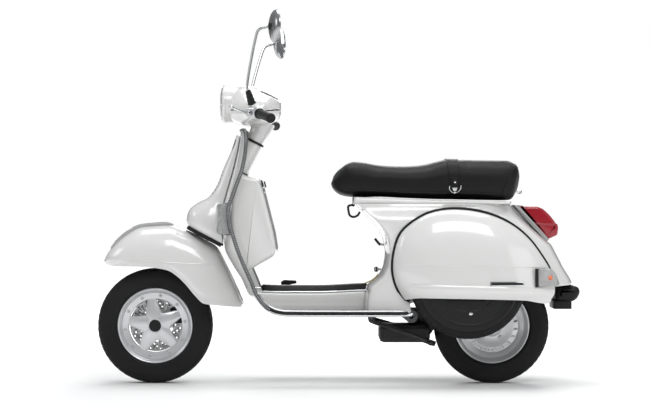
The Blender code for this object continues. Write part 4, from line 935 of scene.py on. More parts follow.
def rear_indicator(label, sign):
    """The clear rear indicator with its gasket, its black strip and an orange bulb."""
    outline = round_corners([(0.7255, 0.4345), (0.7255, 0.3655), (0.793, 0.37), (0.8065, 0.376),
                             (0.7905, 0.415), (0.774, 0.4345)], 0.012, 6)
    base = loft("gasket", [
        [Vector((p.x - 0.004, sign * (min(cowl_y(min(p.x, 0.78), p.y), 0.226) + d), p.y)) for p in outline]
        for d in (-0.004, 0.0075)], PLASTIC)
    lens_rings = []
    for depth, shrink in ((0.007, 1.0), (0.015, 1.0), (0.02, 0.975), (0.0228, 0.93), (0.0236, 0.86),
                          (0.024, 0.5), (0.024, 0.12)):
        middle = Vector((0.763, 0.401))
        ring = []
        for p in outline:
            q = middle + (p - middle) * shrink
            skin = cowl_y(min(p.x, 0.78), p.y)
            outer = 0.218 - 0.16 * (q.x - 0.7255)
            level = skin + 0.007 if depth == 0.007 else outer + depth - 0.013
            ring.append(Vector((q.x, sign * level, q.y)))
        lens_rings.append(ring)
    lens = loft(f"indicator_lens_{label}", lens_rings, CLEAR_LENS, smooth=50)
    finish_piece(lens, f"{label}_cowl", [f"rear_indicator_{label}"])

    def strip_point(u, v, h):
        return Vector((0.719 + u * 0.0052, sign * (0.219 + 0.0115 * h), 0.4 + v * 0.0345))

    strip = pillow("strip", strip_point, PLASTIC, power=8, columns=6, rows=10)
    rear_trim = joined(f"indicator_gasket_{label}", [base, strip])
    finish_piece(rear_trim, f"{label}_cowl")
    bulb = turned(f"indicator_bulb_{label}", [(0.002, -0.01), (0.007, -0.006), (0.0092, 0.0),
                                              (0.007, 0.006), (0.002, 0.009)],
                  Vector((0.769, sign * 0.2195, 0.401)), Y_AXIS, AMBER, 24, closed=False)
    finish_piece(bulb, f"{label}_cowl")


for side_name, side_sign in SIDES:
    cowl_shell(side_name, side_sign)
    rear_indicator(side_name, side_sign)
badge_bar()

# ---------------------------------------------------------------- tail, bumper and spare cover


def tail_light():
    """The red lens with two ribs, on a grey base with a chrome strip."""
    outline = [(0.67, 0.662), (0.7427, 0.66), (0.7627, 0.651), (0.7854, 0.6301), (0.804, 0.607),
               (0.811, 0.596), (0.8168, 0.593), (0.8196, 0.5789), (0.8168, 0.5533), (0.784, 0.539),
               (0.774, 0.54)]
    lens = prism("tail_lens", round_corners(outline, 0.008, 5), -0.057, 0.057, 0.012, RED_LENS, 6)
    finish_piece(lens, "body", ["tail_light"])
    grooves = []
    for z in (0.5935, 0.589):
        grooves.append(tube("line", [
            Vector((0.725, -0.0573, z + 0.006)), Vector((0.77, -0.0573, z + 0.002)),
            Vector((0.806, -0.057, z)), Vector((0.8165, -0.048, z - 0.001)),
            Vector((0.817, 0.0, z - 0.001)), Vector((0.8165, 0.048, z - 0.001)), Vector((0.806, 0.057, z)),
            Vector((0.725, 0.0573, z + 0.006)),
        ], 0.001, RED_LENS, sides=8))
    finish_piece(joined("tail_lens_ribs", grooves), "body")
    base = [(0.649, 0.664), (0.67, 0.664), (0.784, 0.538), (0.776, 0.529), (0.764, 0.54)]
    plate = prism("tail_base", round_corners(base, 0.003, 3), -0.062, 0.062, 0.003, GREY_PLASTIC)
    finish_piece(plate, "body")
    strip = prism("tail_top_strip",
                  round_corners([(0.656, 0.666), (0.656, 0.6625), (0.684, 0.663), (0.684, 0.666)], 0.001,
                                2), -0.058, 0.058, 0.001, CHROME)
    finish_piece(strip, "body")


def rear_bumper():
    """The rounded rubber bumper on its block."""
    bulb = round_corners([(0.806, 0.361), (0.806, 0.311), (0.87, 0.306), (0.888, 0.318), (0.899, 0.342),
                          (0.892, 0.36), (0.878, 0.365)], 0.012, 5)
    block = round_corners([(0.8, 0.312), (0.8, 0.2785), (0.867, 0.2785), (0.867, 0.312)], 0.004, 3)
    parts = [prism("bulb", bulb, -0.084, 0.084, 0.022, RUBBER, 6)]
    parts.append(prism("block", block, -0.07, 0.07, 0.005, PLASTIC, 3))
    finish_piece(joined("bumper_moulding", parts), "body", ["rear_bumper"])


def spare_cover():
    """The dished cover of the spare wheel, with its recess and bolt."""
    parts = [turned("dish", [
        (0.186, -0.046), (0.186, -0.049), (0.1835, -0.0515), (0.179, -0.0525), (0.174, -0.0512),
        (0.17, -0.05), (0.15, -0.0505), (0.05, -0.052), (0.003, -0.0522)], SPARE_CENTRE, Y_AXIS, PLASTIC,
                    96, closed=False)]

    def recess(u, v, h):
        return Vector((0.465 + u * 0.072, -0.2216 - 0.0022 * h, 0.306 + v * 0.015))

    parts.append(pillow("recess", recess, PLASTIC, 10, 16, 8))
    parts.append(turned("bolt_washer", [(0.013, 0.0), (0.013, 0.003), (0.01, 0.0042), (0.005, 0.0042)],
                        Vector((0.48, -0.2215, 0.271)), -Y_AXIS, PLASTIC, 32, closed=False))
    parts.append(turned("bolt", [(0.0082, 0.0), (0.0082, 0.0045), (0.006, 0.007), (0.0015, 0.008)],
                        Vector((0.48, -0.2225, 0.271)), -Y_AXIS, CHROME, 24, closed=False))
    for radius in (0.158, 0.11):
        parts.append(turned("ring", [(radius, -0.051), (radius + 0.003, -0.0526),
                                     (radius + 0.006, -0.051)], SPARE_CENTRE, Y_AXIS, PLASTIC, 96))
    finish_piece(joined("spare_dish", parts), "body", ["spare_cover"])


tail_light()
rear_bumper()
spare_cover()

# ---------------------------------------------------------------- tyres and wheels
# nominal y, radius, 1 where a groove is painted dark as shade, how far the zigzag moves the point
TYRE_PROFILE = [
    (0.033, 0.14, 0, 0), (0.0375, 0.144, 0, 0), (0.04, 0.149, 0, 0), (0.0424, 0.15, 0, 0),
    (0.0432, 0.154, 0, 0), (0.0428, 0.158, 0, 0), (0.045, 0.168, 0, 0), (0.0457, 0.18, 0, 0),
    (0.0448, 0.19, 0, 0), (0.0428, 0.198, 0, 0), (0.0405, 0.203, 0, 0), (0.0385, 0.207, 2, 0),
    (0.034, 0.2105, 2, 0), (0.0285, 0.2128, 0, 1), (0.0262, 0.2132, 0, 1), (0.0258, 0.2085, 1, 1),
    (0.0228, 0.2085, 1, 1), (0.0224, 0.214, 0, 1), (0.018, 0.2142, 0, 1), (0.012, 0.2144, 0, 1),
    (0.0116, 0.2095, 1, 1), (0.0088, 0.2095, 1, 1), (0.0084, 0.2145, 0, 1), (0.004, 0.2145, 0, 1),
]
TREAD_PITCHES = 52
DRILLS_PER_ROW = 15
ARM_TURN = math.radians(26)


def tyre(name, centre, body, node):
    """A tyre whose shoulder blocks and zigzag grooves repeat round it."""
    profile = [(-y, r, g, s) for y, r, g, s in TYRE_PROFILE] + [
        (y, r, g, s) for y, r, g, s in reversed(TYRE_PROFILE)]
    profile += [(0.033, 0.142, 0, 0), (0.03, 0.148, 0, 0), (-0.03, 0.148, 0, 0), (-0.033, 0.142, 0, 0)]
    rings, groove_shade = [], []
    steps = TREAD_PITCHES * 8
    for i in range(steps):
        angle = 2 * math.pi * i / steps
        out = Vector((math.cos(angle), 0.0, math.sin(angle)))
        phase = i % 8
        sway = (abs(phase - 4) / 4 - 0.5) * 0.0052
        ring = []
        for y, radius, groove, swings in profile:
            notch = groove == 2 and phase in (0, 1)
            r = radius - (0.003 if notch else 0.0)
            ring.append(centre + out * r + Y_AXIS * (y + sway * swings))
            # groove bottoms and notches get painted shade
            groove_shade.append(1.0 if groove == 1 or notch else 0.0)
        rings.append(ring)
    thing = mark(loft(name, rings, TYRE, closed=True, smooth=38), groove_shade)
    return finish_piece(thing, body, [node])


tyre("front_tyre_treaded", FRONT_AXLE, "front_wheel", "front_tyre")
tyre("rear_tyre_treaded", REAR_AXLE, "rear_wheel", "rear_tyre")
tyre("spare_tyre_treaded", SPARE_CENTRE, "body", "spare_tyre")


def wheel_point(centre, angle, radius, y):
    """A point of a wheel by its bearing, radius and distance along the axle."""
    return centre + Vector((math.cos(angle), 0.0, math.sin(angle))) * radius + Y_AXIS * y


def star_radius(angle, windows_out, valley, half_width, taper=0.0):
    """How far the five-armed star reaches at one bearing from an arm's middle."""
    turn = abs((angle + math.pi / 5) % (2 * math.pi / 5) - math.pi / 5)
    arm = half_width / max(math.sin(turn) + taper, 0.001)
    return min(windows_out, (valley ** 6 + arm ** 6) ** (1 / 6)) if arm < 10 else windows_out


def front_wheel():
    """The five-armed alloy front wheel with its bolts and hub cap."""
    rim = turned("rim", [
        (0.14, -0.0335), (0.1412, -0.0318), (0.1405, -0.029), (0.137, -0.0275), (0.137, 0.0275),
        (0.14, 0.031), (0.14, 0.0335), (0.137, 0.0335), (0.131, 0.028), (0.124, 0.006), (0.101, 0.0035),
        (0.1, 0.001), (0.1, -0.015), (0.1012, -0.0175), (0.104, -0.0185), (0.12, -0.0195),
        (0.1228, -0.0205), (0.124, -0.0225), (0.1252, -0.0205), (0.128, -0.0225), (0.132, -0.03),
        (0.1345, -0.033), (0.1375, -0.0345)], FRONT_AXLE, Y_AXIS, SILVER, 120)
    star = []
    layers = ((0.06, -0.029), (0.42, -0.0285), (0.7, -0.0265), (0.9, -0.024), (0.955, -0.023),
              (0.985, -0.0215), (1.0, -0.019), (1.0, -0.006), (0.9, -0.004), (0.06, -0.004))
    for share, y in layers:
        ring = []
        for k in range(240):
            angle = 2 * math.pi * k / 240
            radius = star_radius(angle - ARM_TURN, 0.106, 0.04, 0.0453, 0.296) * share
            fall = 0.006 * between(radius, 0.05, 0.1) if y < -0.015 else 0.0
            ring.append(wheel_point(FRONT_AXLE, angle, radius, y + fall))
        star.append(ring)
    parts = [rim, loft("star", star, SILVER, smooth=45)]
    parts.append(turned("hub_ring", [(0.0265, -0.027), (0.0265, -0.0315), (0.025, -0.0328),
                                     (0.0228, -0.0322), (0.0228, -0.027)], FRONT_AXLE, Y_AXIS, SILVER, 64))
    parts.append(turned("hub_cap", [(0.0228, -0.028), (0.0228, -0.0322), (0.0205, -0.034), (0.01, -0.0348),
                                    (0.001, -0.035)], FRONT_AXLE, Y_AXIS, PLASTIC, 64, closed=False))
    for k in range(10):
        spot = wheel_point(FRONT_AXLE, math.radians(8 + 36 * k), 0.1125, -0.0192)
        parts.append(turned("bolt", [(0.0056, 0.0), (0.0056, 0.001), (0.0042, 0.0022), (0.0042, 0.004),
                                     (0.003, 0.0048), (0.0005, 0.0048)], spot, -Y_AXIS, STEEL, 12,
                            closed=False, smooth=20))
    parts.append(turned("hub", [(0.03, -0.005), (0.03, 0.0215), (0.0125, 0.0215), (0.0125, -0.005)],
                        FRONT_AXLE, Y_AXIS, SILVER, 48))
    finish_piece(joined("front_wheel_alloy", parts), "front_wheel", ["front_rim"])


def front_brake():
    """The drilled disc on its five-armed carrier."""
    disc = turned("front_disc_drilled", [(0.0985, 0.0222), (0.099, 0.0227), (0.099, 0.0257),
                                         (0.0985, 0.0262), (0.064, 0.0262), (0.0635, 0.0257),
                                         (0.0635, 0.0227), (0.064, 0.0222)], FRONT_AXLE, Y_AXIS, STEEL, 96)
    drills = []
    for radius, shift in ((0.072, 0.0), (0.0815, 0.14), (0.0905, 0.28)):
        for k in range(DRILLS_PER_ROW):
            spot = wheel_point(FRONT_AXLE, 2 * math.pi * k / DRILLS_PER_ROW + shift, radius, 0.01)
            drills.append(rod("drill", spot, spot + Y_AXIS * 0.03, 0.0032, STEEL, sides=12))
    cut_with(disc, joined("drills", drills))
    carrier = []
    for share, y in ((0.2, 0.0222), (0.97, 0.0222), (1.0, 0.023), (1.0, 0.0262), (0.97, 0.027),
                     (0.2, 0.027)):
        ring = []
        for k in range(160):
            angle = 2 * math.pi * k / 160
            radius = star_radius(angle, 0.069, 0.044, 0.011) * share
            ring.append(wheel_point(FRONT_AXLE, angle, radius, y))
        carrier.append(ring)
    parts = [disc, loft("carrier", carrier, STEEL)]
    finish_piece(joined("front_disc_drilled", parts), "front_wheel", ["front_disc"])


def rear_wheel():
    """The stamped rear wheel with its ring of vanes, nuts and hub cap."""
    rim = turned("rim", [
        (0.14, -0.0335), (0.1412, -0.0318), (0.1405, -0.029), (0.137, -0.0275), (0.137, 0.0275),
        (0.14, 0.031), (0.14, 0.0335), (0.137, 0.0335), (0.131, 0.028), (0.124, 0.01), (0.1, -0.002),
        (0.098, 0.044), (0.036, 0.044), (0.034, 0.03), (0.0125, 0.03), (0.0125, -0.024), (0.034, -0.024),
        (0.042, -0.015), (0.072, -0.014), (0.082, -0.017), (0.088, -0.0165), (0.094, -0.012),
        (0.101, -0.0115), (0.106, -0.015), (0.12, -0.016), (0.125, -0.019), (0.129, -0.026),
        (0.133, -0.0325), (0.137, -0.0345)], REAR_AXLE, Y_AXIS, SILVER, 120)
    parts = [rim]
    for k in range(20):
        angle = math.radians(9 + 18 * k)
        start = wheel_point(REAR_AXLE, angle, 0.086, -0.016)
        end = wheel_point(REAR_AXLE, angle, 0.099, -0.015)
        parts.append(tube("vane", [start, (start + end) / 2 - Y_AXIS * 0.0018, end],
                          [0.006, 0.0066, 0.0056], SILVER, sides=10, flat=0.55))
    for k in range(5):
        spot = wheel_point(REAR_AXLE, math.radians(18 + 72 * k), 0.056, -0.014)
        parts.append(turned("nut", [(0.0095, 0.0), (0.0095, 0.0014), (0.007, 0.002), (0.007, 0.0085),
                                    (0.0055, 0.01), (0.0008, 0.01)], spot, -Y_AXIS, STEEL, 6, closed=False,
                            smooth=20))
    parts.append(turned("hub_cap", [(0.022, -0.022), (0.022, -0.028), (0.019, -0.031), (0.001, -0.032)],
                        REAR_AXLE, Y_AXIS, PLASTIC, 48, closed=False))
    finish_piece(joined("rear_wheel_steel", parts), "rear_wheel", ["rear_rim"])


front_wheel()
front_brake()
rear_wheel()

# ---------------------------------------------------------------- front fender
# station, x and z on the crown, x and z of the lower edge, half width
FENDER_TABLE = [
    (0.0, -0.878, 0.456, -0.856, 0.44, 0.04), (1.0, -0.864, 0.484, -0.835, 0.4385, 0.07),
    (2.0, -0.835, 0.518, -0.805, 0.438, 0.091), (3.0, -0.79, 0.557, -0.76, 0.4378, 0.103),
    (4.0, -0.735, 0.583, -0.72, 0.437, 0.109), (5.0, -0.63, 0.59, -0.635, 0.425, 0.113),
    (6.0, -0.58, 0.575, -0.6, 0.405, 0.113), (7.0, -0.535, 0.556, -0.565, 0.372, 0.113),
    (8.0, -0.49, 0.531, -0.53, 0.33, 0.112), (9.0, -0.458, 0.51, -0.495, 0.3, 0.11),
    (10.0, -0.426, 0.455, -0.45, 0.2945, 0.106), (11.0, -0.396, 0.395, -0.41, 0.2905, 0.1),
    (12.0, -0.372, 0.34, -0.38, 0.2885, 0.094), (13.0, -0.356, 0.305, -0.36, 0.2885, 0.086),
]
# distance down the steering axis, how far from it a point may reach
SWEEP_LIMIT = [
    (0.39, 0.06), (0.403, 0.072), (0.4397, 0.122), (0.4781, 0.182), (0.5118, 0.226), (0.526, 0.258),
    (0.55, 0.29),
]
fender_table, sweep_limit = smooth_table(FENDER_TABLE), smooth_table(SWEEP_LIMIT)


def swing_inside(point):
    """Keep a fender point clear of the legshield through the whole steering lock."""
    offset = point - STEER_TOP
    down, back = offset.dot(STEER_DOWN), offset.dot(STEER_BACK)
    reach = math.hypot(back, point.y)
    bearing = math.atan2(abs(point.y), back)
    spread = min(max(bearing - math.radians(40), 0.0), math.radians(68))
    limit = sweep_limit(down)[0] / math.cos(spread)
    if reach <= limit or reach < 0.001:
        return point
    return steer_point(down, back * limit / reach, point.y * limit / reach)


def fender_point(station, v, lift=0.0):
    """v is -1 at the left lower edge, 0 on the crown and 1 at the right lower edge."""
    x, z, low_x, low_z, half = fender_table(station)
    angle = math.pi / 2 * v
    y = (half + lift) * math.copysign(abs(math.sin(angle)) ** 0.85, angle)
    drop = 1 - max(math.cos(angle), 0.0) ** 0.75
    lip = 0.0022 * between(abs(v), 0.955, 1.0)
    height = z + (low_z - z) * drop
    crease = 0.0012 * (1 - between(height, 0.447, 0.45)) * between(abs(v), 0.5, 0.7) * (
        between(x, -0.85, -0.8)) * (1 - between(x, -0.5, -0.44))
    y += math.copysign(lip - crease, v) if v else 0.0
    return swing_inside(Vector((x + (low_x - x) * drop, y, height + lift * (1 - drop))))


def fender():
    """The front fender, with the raised crest on its crown and the creases on its sides."""
    rows = []
    for i in range(105):
        station = 13.0 * i / 104
        rows.append([fender_point(station, v) for v in dense_ends(32)])
    thing = panel("fender_pressing", rows, 0.0025, PAINT, Z_AXIS, smooth=40,
                  keep=lambda p: (p - steer_point((p - STEER_TOP).dot(STEER_DOWN))).length > 0.0225)
    finish_piece(thing, "steering", ["front_fender"])

    def crest(u, v, h):
        station = 3.35 + u * 1.85
        wide = 0.016 * (1 - 0.25 * u)
        base = fender_point(station, 0.0)
        rise = (0.0135 + 0.0015 * u) * h
        out = Vector((-0.55, 0.0, 0.83)) if u < 0.2 else Vector((-0.2, 0.0, 0.98))
        return base + out.normalized() * (rise - 0.003) + Y_AXIS * v * wide

    parts = [pillow("crest", crest, GREY_PLASTIC, power=5, columns=40, rows=14)]
    for low, high in ((-0.7, -0.06), (0.06, 0.86)):
        def inlay(u, v, h, low=low, high=high):
            t = (low + high) / 2 + u * (high - low) / 2
            top = crest(t, v * 0.62, 1.0)
            return top + Vector((-0.3, 0.0, 0.95)) * (0.0012 * h - 0.0004)

        parts.append(pillow("inlay", inlay, PLASTIC, power=6, columns=20, rows=8))
    finish_piece(joined("fender_crest", parts), "steering")
    creases = []
    for low, high, level, fall in ((2.2, 9.6, 0.461, 0.045), (10.4, 12.2, 0.364, 0.06)):
        for side in (-1, 1):
            line = []
            for i in range(61):
                station = low + (high - low) * i / 60
                inner, outer = 0.3, 0.99
                for _ in range(16):
                    v = (inner + outer) / 2
                    spot = fender_point(station, side * v)
                    if spot.z > level - fall * (spot.x + 0.82 if low < 3 else spot.x + 0.46):
                        inner = v
                    else:
                        outer = v
                line.append(fender_point(station, side * (inner + outer) / 2))
            radii = [0.0016 * between(min(i, 60 - i), 0, 8) + 0.0002 for i in range(61)]
            creases.append(tube("crease", line, radii, PAINT, sides=8))
    finish_piece(joined("fender_creases", creases), "steering")


fender()

# ---------------------------------------------------------------- steering head cover
# distance down the steering axis, reach in front of it, half width
HORN_TABLE = [
    (0.005, 0.068, 0.034), (0.06, 0.059, 0.042), (0.136, 0.054, 0.048), (0.21, 0.046, 0.052),
    (0.26, 0.053, 0.06), (0.3, 0.08, 0.076), (0.34, 0.096, 0.086), (0.372, 0.088, 0.086),
    (0.387, 0.077, 0.08),
]
horn_table = smooth_table(HORN_TABLE)


def horn_point(down, v, lift=0.0):
    """v runs from -1 at the left seam round the front to 1 at the right seam."""
    reach, half = horn_table(down)
    angle = math.pi / 2 * v
    y = (half + lift) * math.copysign(abs(math.sin(angle)) ** 0.8, angle)
    back = 0.0
    for _ in range(9):
        point = steer_point(down, back, y)
        back += (leg_x(y, min(point.z, 0.936)) - 0.003 - point.x) * 0.9
    back += (-reach - lift - back) * max(math.cos(angle), 0.0) ** 0.7
    return steer_point(down, back, y)


def horn_cover():
    """The cover in front of the steering head, its louvres, plain badge, gaiter and column cover."""
    rows = []
    for i in range(49):
        down = 0.005 + (0.387 - 0.005) * i / 48
        rows.append([horn_point(down, v) for v in dense_ends(24)])
    thing = panel("horn_cover_pressing", rows, 0.0025, PAINT, -X_AXIS, smooth=45)
    finish_piece(thing, "body", ["horn_cover"])
    skirt = []
    for i in range(4):
        down = 0.384 + 0.019 * i / 3
        skirt.append([horn_point(0.384, v, -0.0035) + STEER_DOWN * (down - 0.384) for v in dense_ends(24)])
    finish_piece(panel("horn_cover_gaiter", skirt, 0.003, RUBBER, -X_AXIS), "body")
    louvres = []
    for i in range(7):
        down = 0.15 + 0.015 * i
        path = [horn_point(down, 0.5 * (k / 12 - 1), 0.0004) for k in range(25)]
        louvres.append(tube("louvre", path, [0.002 + 0.0012 * between(min(k, 24 - k), 0, 4)
                                             for k in range(25)], PLASTIC, sides=10, flat=0.8))
    finish_piece(joined("horn_louvres", louvres), "body")

    def shield(u, v, h):
        wide = 0.55 - 0.08 * v
        return horn_point(0.042 + 0.02 * v, u * wide, 0.0004 + 0.0028 * h)

    badge = [pillow("plate", shield, PLASTIC, power=7, columns=20, rows=14)]
    rim = [horn_point(0.042 + 0.0205 * math.sin(a), 0.52 * math.cos(a) * (1 - 0.12 * math.sin(a)), 0.0016)
           for a in [2 * math.pi * k / 48 for k in range(48)]]
    badge.append(tube("rim", rim, 0.0012, CHROME, sides=8, closed=True))
    finish_piece(joined("blank_front_badge", badge), "body")
    collar = turned("column_collar", [(0.0372, -0.006), (0.0384, -0.004), (0.0384, 0.0), (0.0372, 0.002),
                                      (0.03, 0.002), (0.03, -0.006)], STEER_TOP, STEER_DOWN, RUBBER, 48)
    finish_piece(collar, "body")
    cover = turned("column_cover", [(0.031, 0.003), (0.034, 0.004), (0.034, 0.15), (0.031, 0.15)],
                   STEER_TOP, STEER_DOWN, PAINT, 56)
    finish_piece(cover, "body")
    foot = turned("column_foot_ring", [(0.033, 0.118), (0.0356, 0.119), (0.0356, 0.1225), (0.033, 0.1235)],
                  STEER_TOP, STEER_DOWN, RUBBER, 48)
    finish_piece(foot, "body")


horn_cover()


def front_indicator(label, sign):
    """A front indicator lens on its dark gasket."""
    def place(u, v, h):
        y = 0.192 + 0.034 * u
        z = 0.614 + 0.056 * v
        return Vector((leg_x(y, z) - 0.0026 - 0.027 * h * (1 - 0.12 * u), sign * y, z))

    finish_piece(pillow(f"front_lens_{label}", place, CLEAR_LENS, 12, 20, 24), "body",
                 [f"front_indicator_{label}"])

    def seat(u, v, h):
        y = 0.192 + 0.0365 * u
        z = 0.614 + 0.059 * v
        return Vector((leg_x(y, z) - 0.0004 - 0.005 * h, sign * y, z))

    finish_piece(pillow(f"front_lens_gasket_{label}", seat, PLASTIC, 10, 16, 20), "body")


for side_name, side_sign in SIDES:
    front_indicator(side_name, side_sign)

# ---------------------------------------------------------------- glovebox


def glovebox():
    """The glovebox with its cavity, its door with a lock, and two latches."""
    outline = [(-0.37, 0.77), (-0.356, 0.778), (-0.293, 0.761), (-0.2849, 0.7466), (-0.2389, 0.5626),
               (-0.229, 0.501), (-0.2359, 0.4798), (-0.3225, 0.4285), (-0.345, 0.426), (-0.356, 0.442),
               (-0.374, 0.485), (-0.39, 0.55), (-0.396, 0.62), (-0.392, 0.68), (-0.38, 0.735)]
    box = prism("glovebox_moulding", round_corners(outline, 0.014, 5), -0.164, 0.164, 0.016, PAINT, 6, 40)
    cavity = prism("cavity", [(-0.336, 0.741), (-0.37, 0.69), (-0.386, 0.6), (-0.386, 0.5735),
                              (-0.22, 0.5735), (-0.22, 0.741)], -0.15, 0.15, 0.0, PLASTIC, 1)
    cut_with(box, cavity)
    finish_piece(box, "body", ["glovebox"])

    def door(u, v, h):
        t = 0.5 + 0.5 * v
        x, z = -0.2441 + (-0.2866 + 0.2441) * t, 0.5742 + (0.74 - 0.5742) * t
        return Vector((x - 0.0025 + 0.005 * h, 0.1487 * u, z + 0.001 * h))

    parts = [pillow("door", door, PAINT, 14, 28, 24)]
    lock = Vector((-0.283, 0.0, 0.72))
    out = Vector((0.969, 0.0, 0.246))
    parts.append(turned("lock_rim", [(0.012, 0.0), (0.012, 0.004), (0.0105, 0.0052), (0.001, 0.0052)],
                        lock, out, CHROME, 40, closed=False))
    parts.append(turned("lock_core", [(0.0075, 0.005), (0.0075, 0.006), (0.001, 0.006)], lock, out,
                        PLASTIC, 32, closed=False))
    finish_piece(joined("glovebox_door_panel", parts), "glovebox_door", ["glovebox_door"])
    for label, sign in SIDES:
        latch = prism(f"glovebox_latch_{label}",
                      round_corners([(-0.286, 0.756), (-0.28, 0.756), (-0.2745, 0.733), (-0.28, 0.733)],
                                    0.001, 2), sign * 0.1585 - 0.0045, sign * 0.1585 + 0.0045, 0.001,
                      PLASTIC)
        finish_piece(latch, "body")


glovebox()

# ---------------------------------------------------------------- seat
# x, half width, height of the bottom and of the top
SEAT_TABLE = [
    (-0.033, 0.05, 0.738, 0.755), (-0.025, 0.085, 0.723, 0.77), (0.0, 0.108, 0.706, 0.8),
    (0.04, 0.122, 0.698, 0.826), (0.086, 0.13, 0.696, 0.8235), (0.16, 0.136, 0.694, 0.8115),
    (0.24, 0.14, 0.69, 0.808), (0.315, 0.141, 0.687, 0.8135), (0.377, 0.141, 0.685, 0.8289),
    (0.41, 0.141, 0.6845, 0.835), (0.446, 0.14, 0.684, 0.8327), (0.54, 0.136, 0.682, 0.8311),
    (0.62, 0.128, 0.681, 0.83), (0.66, 0.118, 0.681, 0.827), (0.674, 0.104, 0.683, 0.818),
    (0.678, 0.08, 0.696, 0.808),
]
seat_table = smooth_table(SEAT_TABLE)
SEAT_SIM_FRAMES = 20
SEAT_SIM_CAP = 0.006


def seat_point(x, angle, grow=0.0):
    """A point of the cushion's skin at one station; angle 0 is the right side and pi / 2 the top."""
    half, low, high = seat_table(x)
    c, s = math.cos(angle), math.sin(angle)
    middle = (low + high) / 2
    y = (half + grow) * math.copysign(abs(c) ** 0.55, c)
    z = middle + ((high - low) / 2 + grow) * math.copysign(abs(s) ** (0.75 if s > 0 else 0.35), s)
    lean = 0.024 * between(x, 0.6, 0.68) * min(max((0.818 - z) / 0.135, 0.0), 1.0)
    return Vector((x - lean, y, z))


def seat_cushion():
    """The cushion, inflated as cloth from the seat table and then smoothed."""
    rings = []
    stations = [-0.033 + 0.711 * (0.5 - 0.5 * math.cos(math.pi * i / 64)) for i in range(65)]
    for x in stations:
        rings.append([seat_point(x, 2 * math.pi * k / 72, -0.004) for k in range(72)])
    thing = loft("seat_cushion_padded", rings, LEATHER)
    remesh = thing.modifiers.new("remesh", "REMESH")
    remesh.mode = "VOXEL"
    remesh.voxel_size = 0.0065
    bake(thing)
    start = [v.co.copy() for v in thing.data.vertices]
    cloth = thing.modifiers.new("cloth", "CLOTH")
    cloth.settings.use_pressure = True
    cloth.settings.uniform_pressure_force = 4.0
    cloth.settings.quality = 5
    cloth.settings.effector_weights.gravity = 0.0
    cloth.point_cache.frame_start = 1
    cloth.point_cache.frame_end = SEAT_SIM_FRAMES
    for step in range(1, SEAT_SIM_FRAMES + 1):
        bpy.context.scene.frame_set(step)
    bake(thing)
    bpy.context.scene.frame_set(1)
    for vertex, before in zip(thing.data.vertices, start):
        moved = vertex.co - before
        if moved.length > SEAT_SIM_CAP:
            vertex.co = before + moved * (SEAT_SIM_CAP / moved.length)
        if vertex.co.z < before.z < 0.7:
            vertex.co.z = before.z - 0.002
    soften = thing.modifiers.new("soften", "SMOOTH")
    soften.factor = 0.5
    soften.iterations = 5
    finer = thing.modifiers.new("finer", "SUBSURF")
    finer.levels = finer.render_levels = 1
    bake(thing)
    thing.data.shade_smooth()
    thing.data.materials.clear()
    thing.data.materials.append(LEATHER)
    finish_piece(thing, "seat", ["seat_cushion"])
    return thing


seat_skin = seat_cushion()


def on_seat(point, lift):
    """The nearest place on the finished cushion, lift above it."""
    _, place, normal, _ = seat_skin.closest_point_on_mesh(point)
    return place + normal * lift


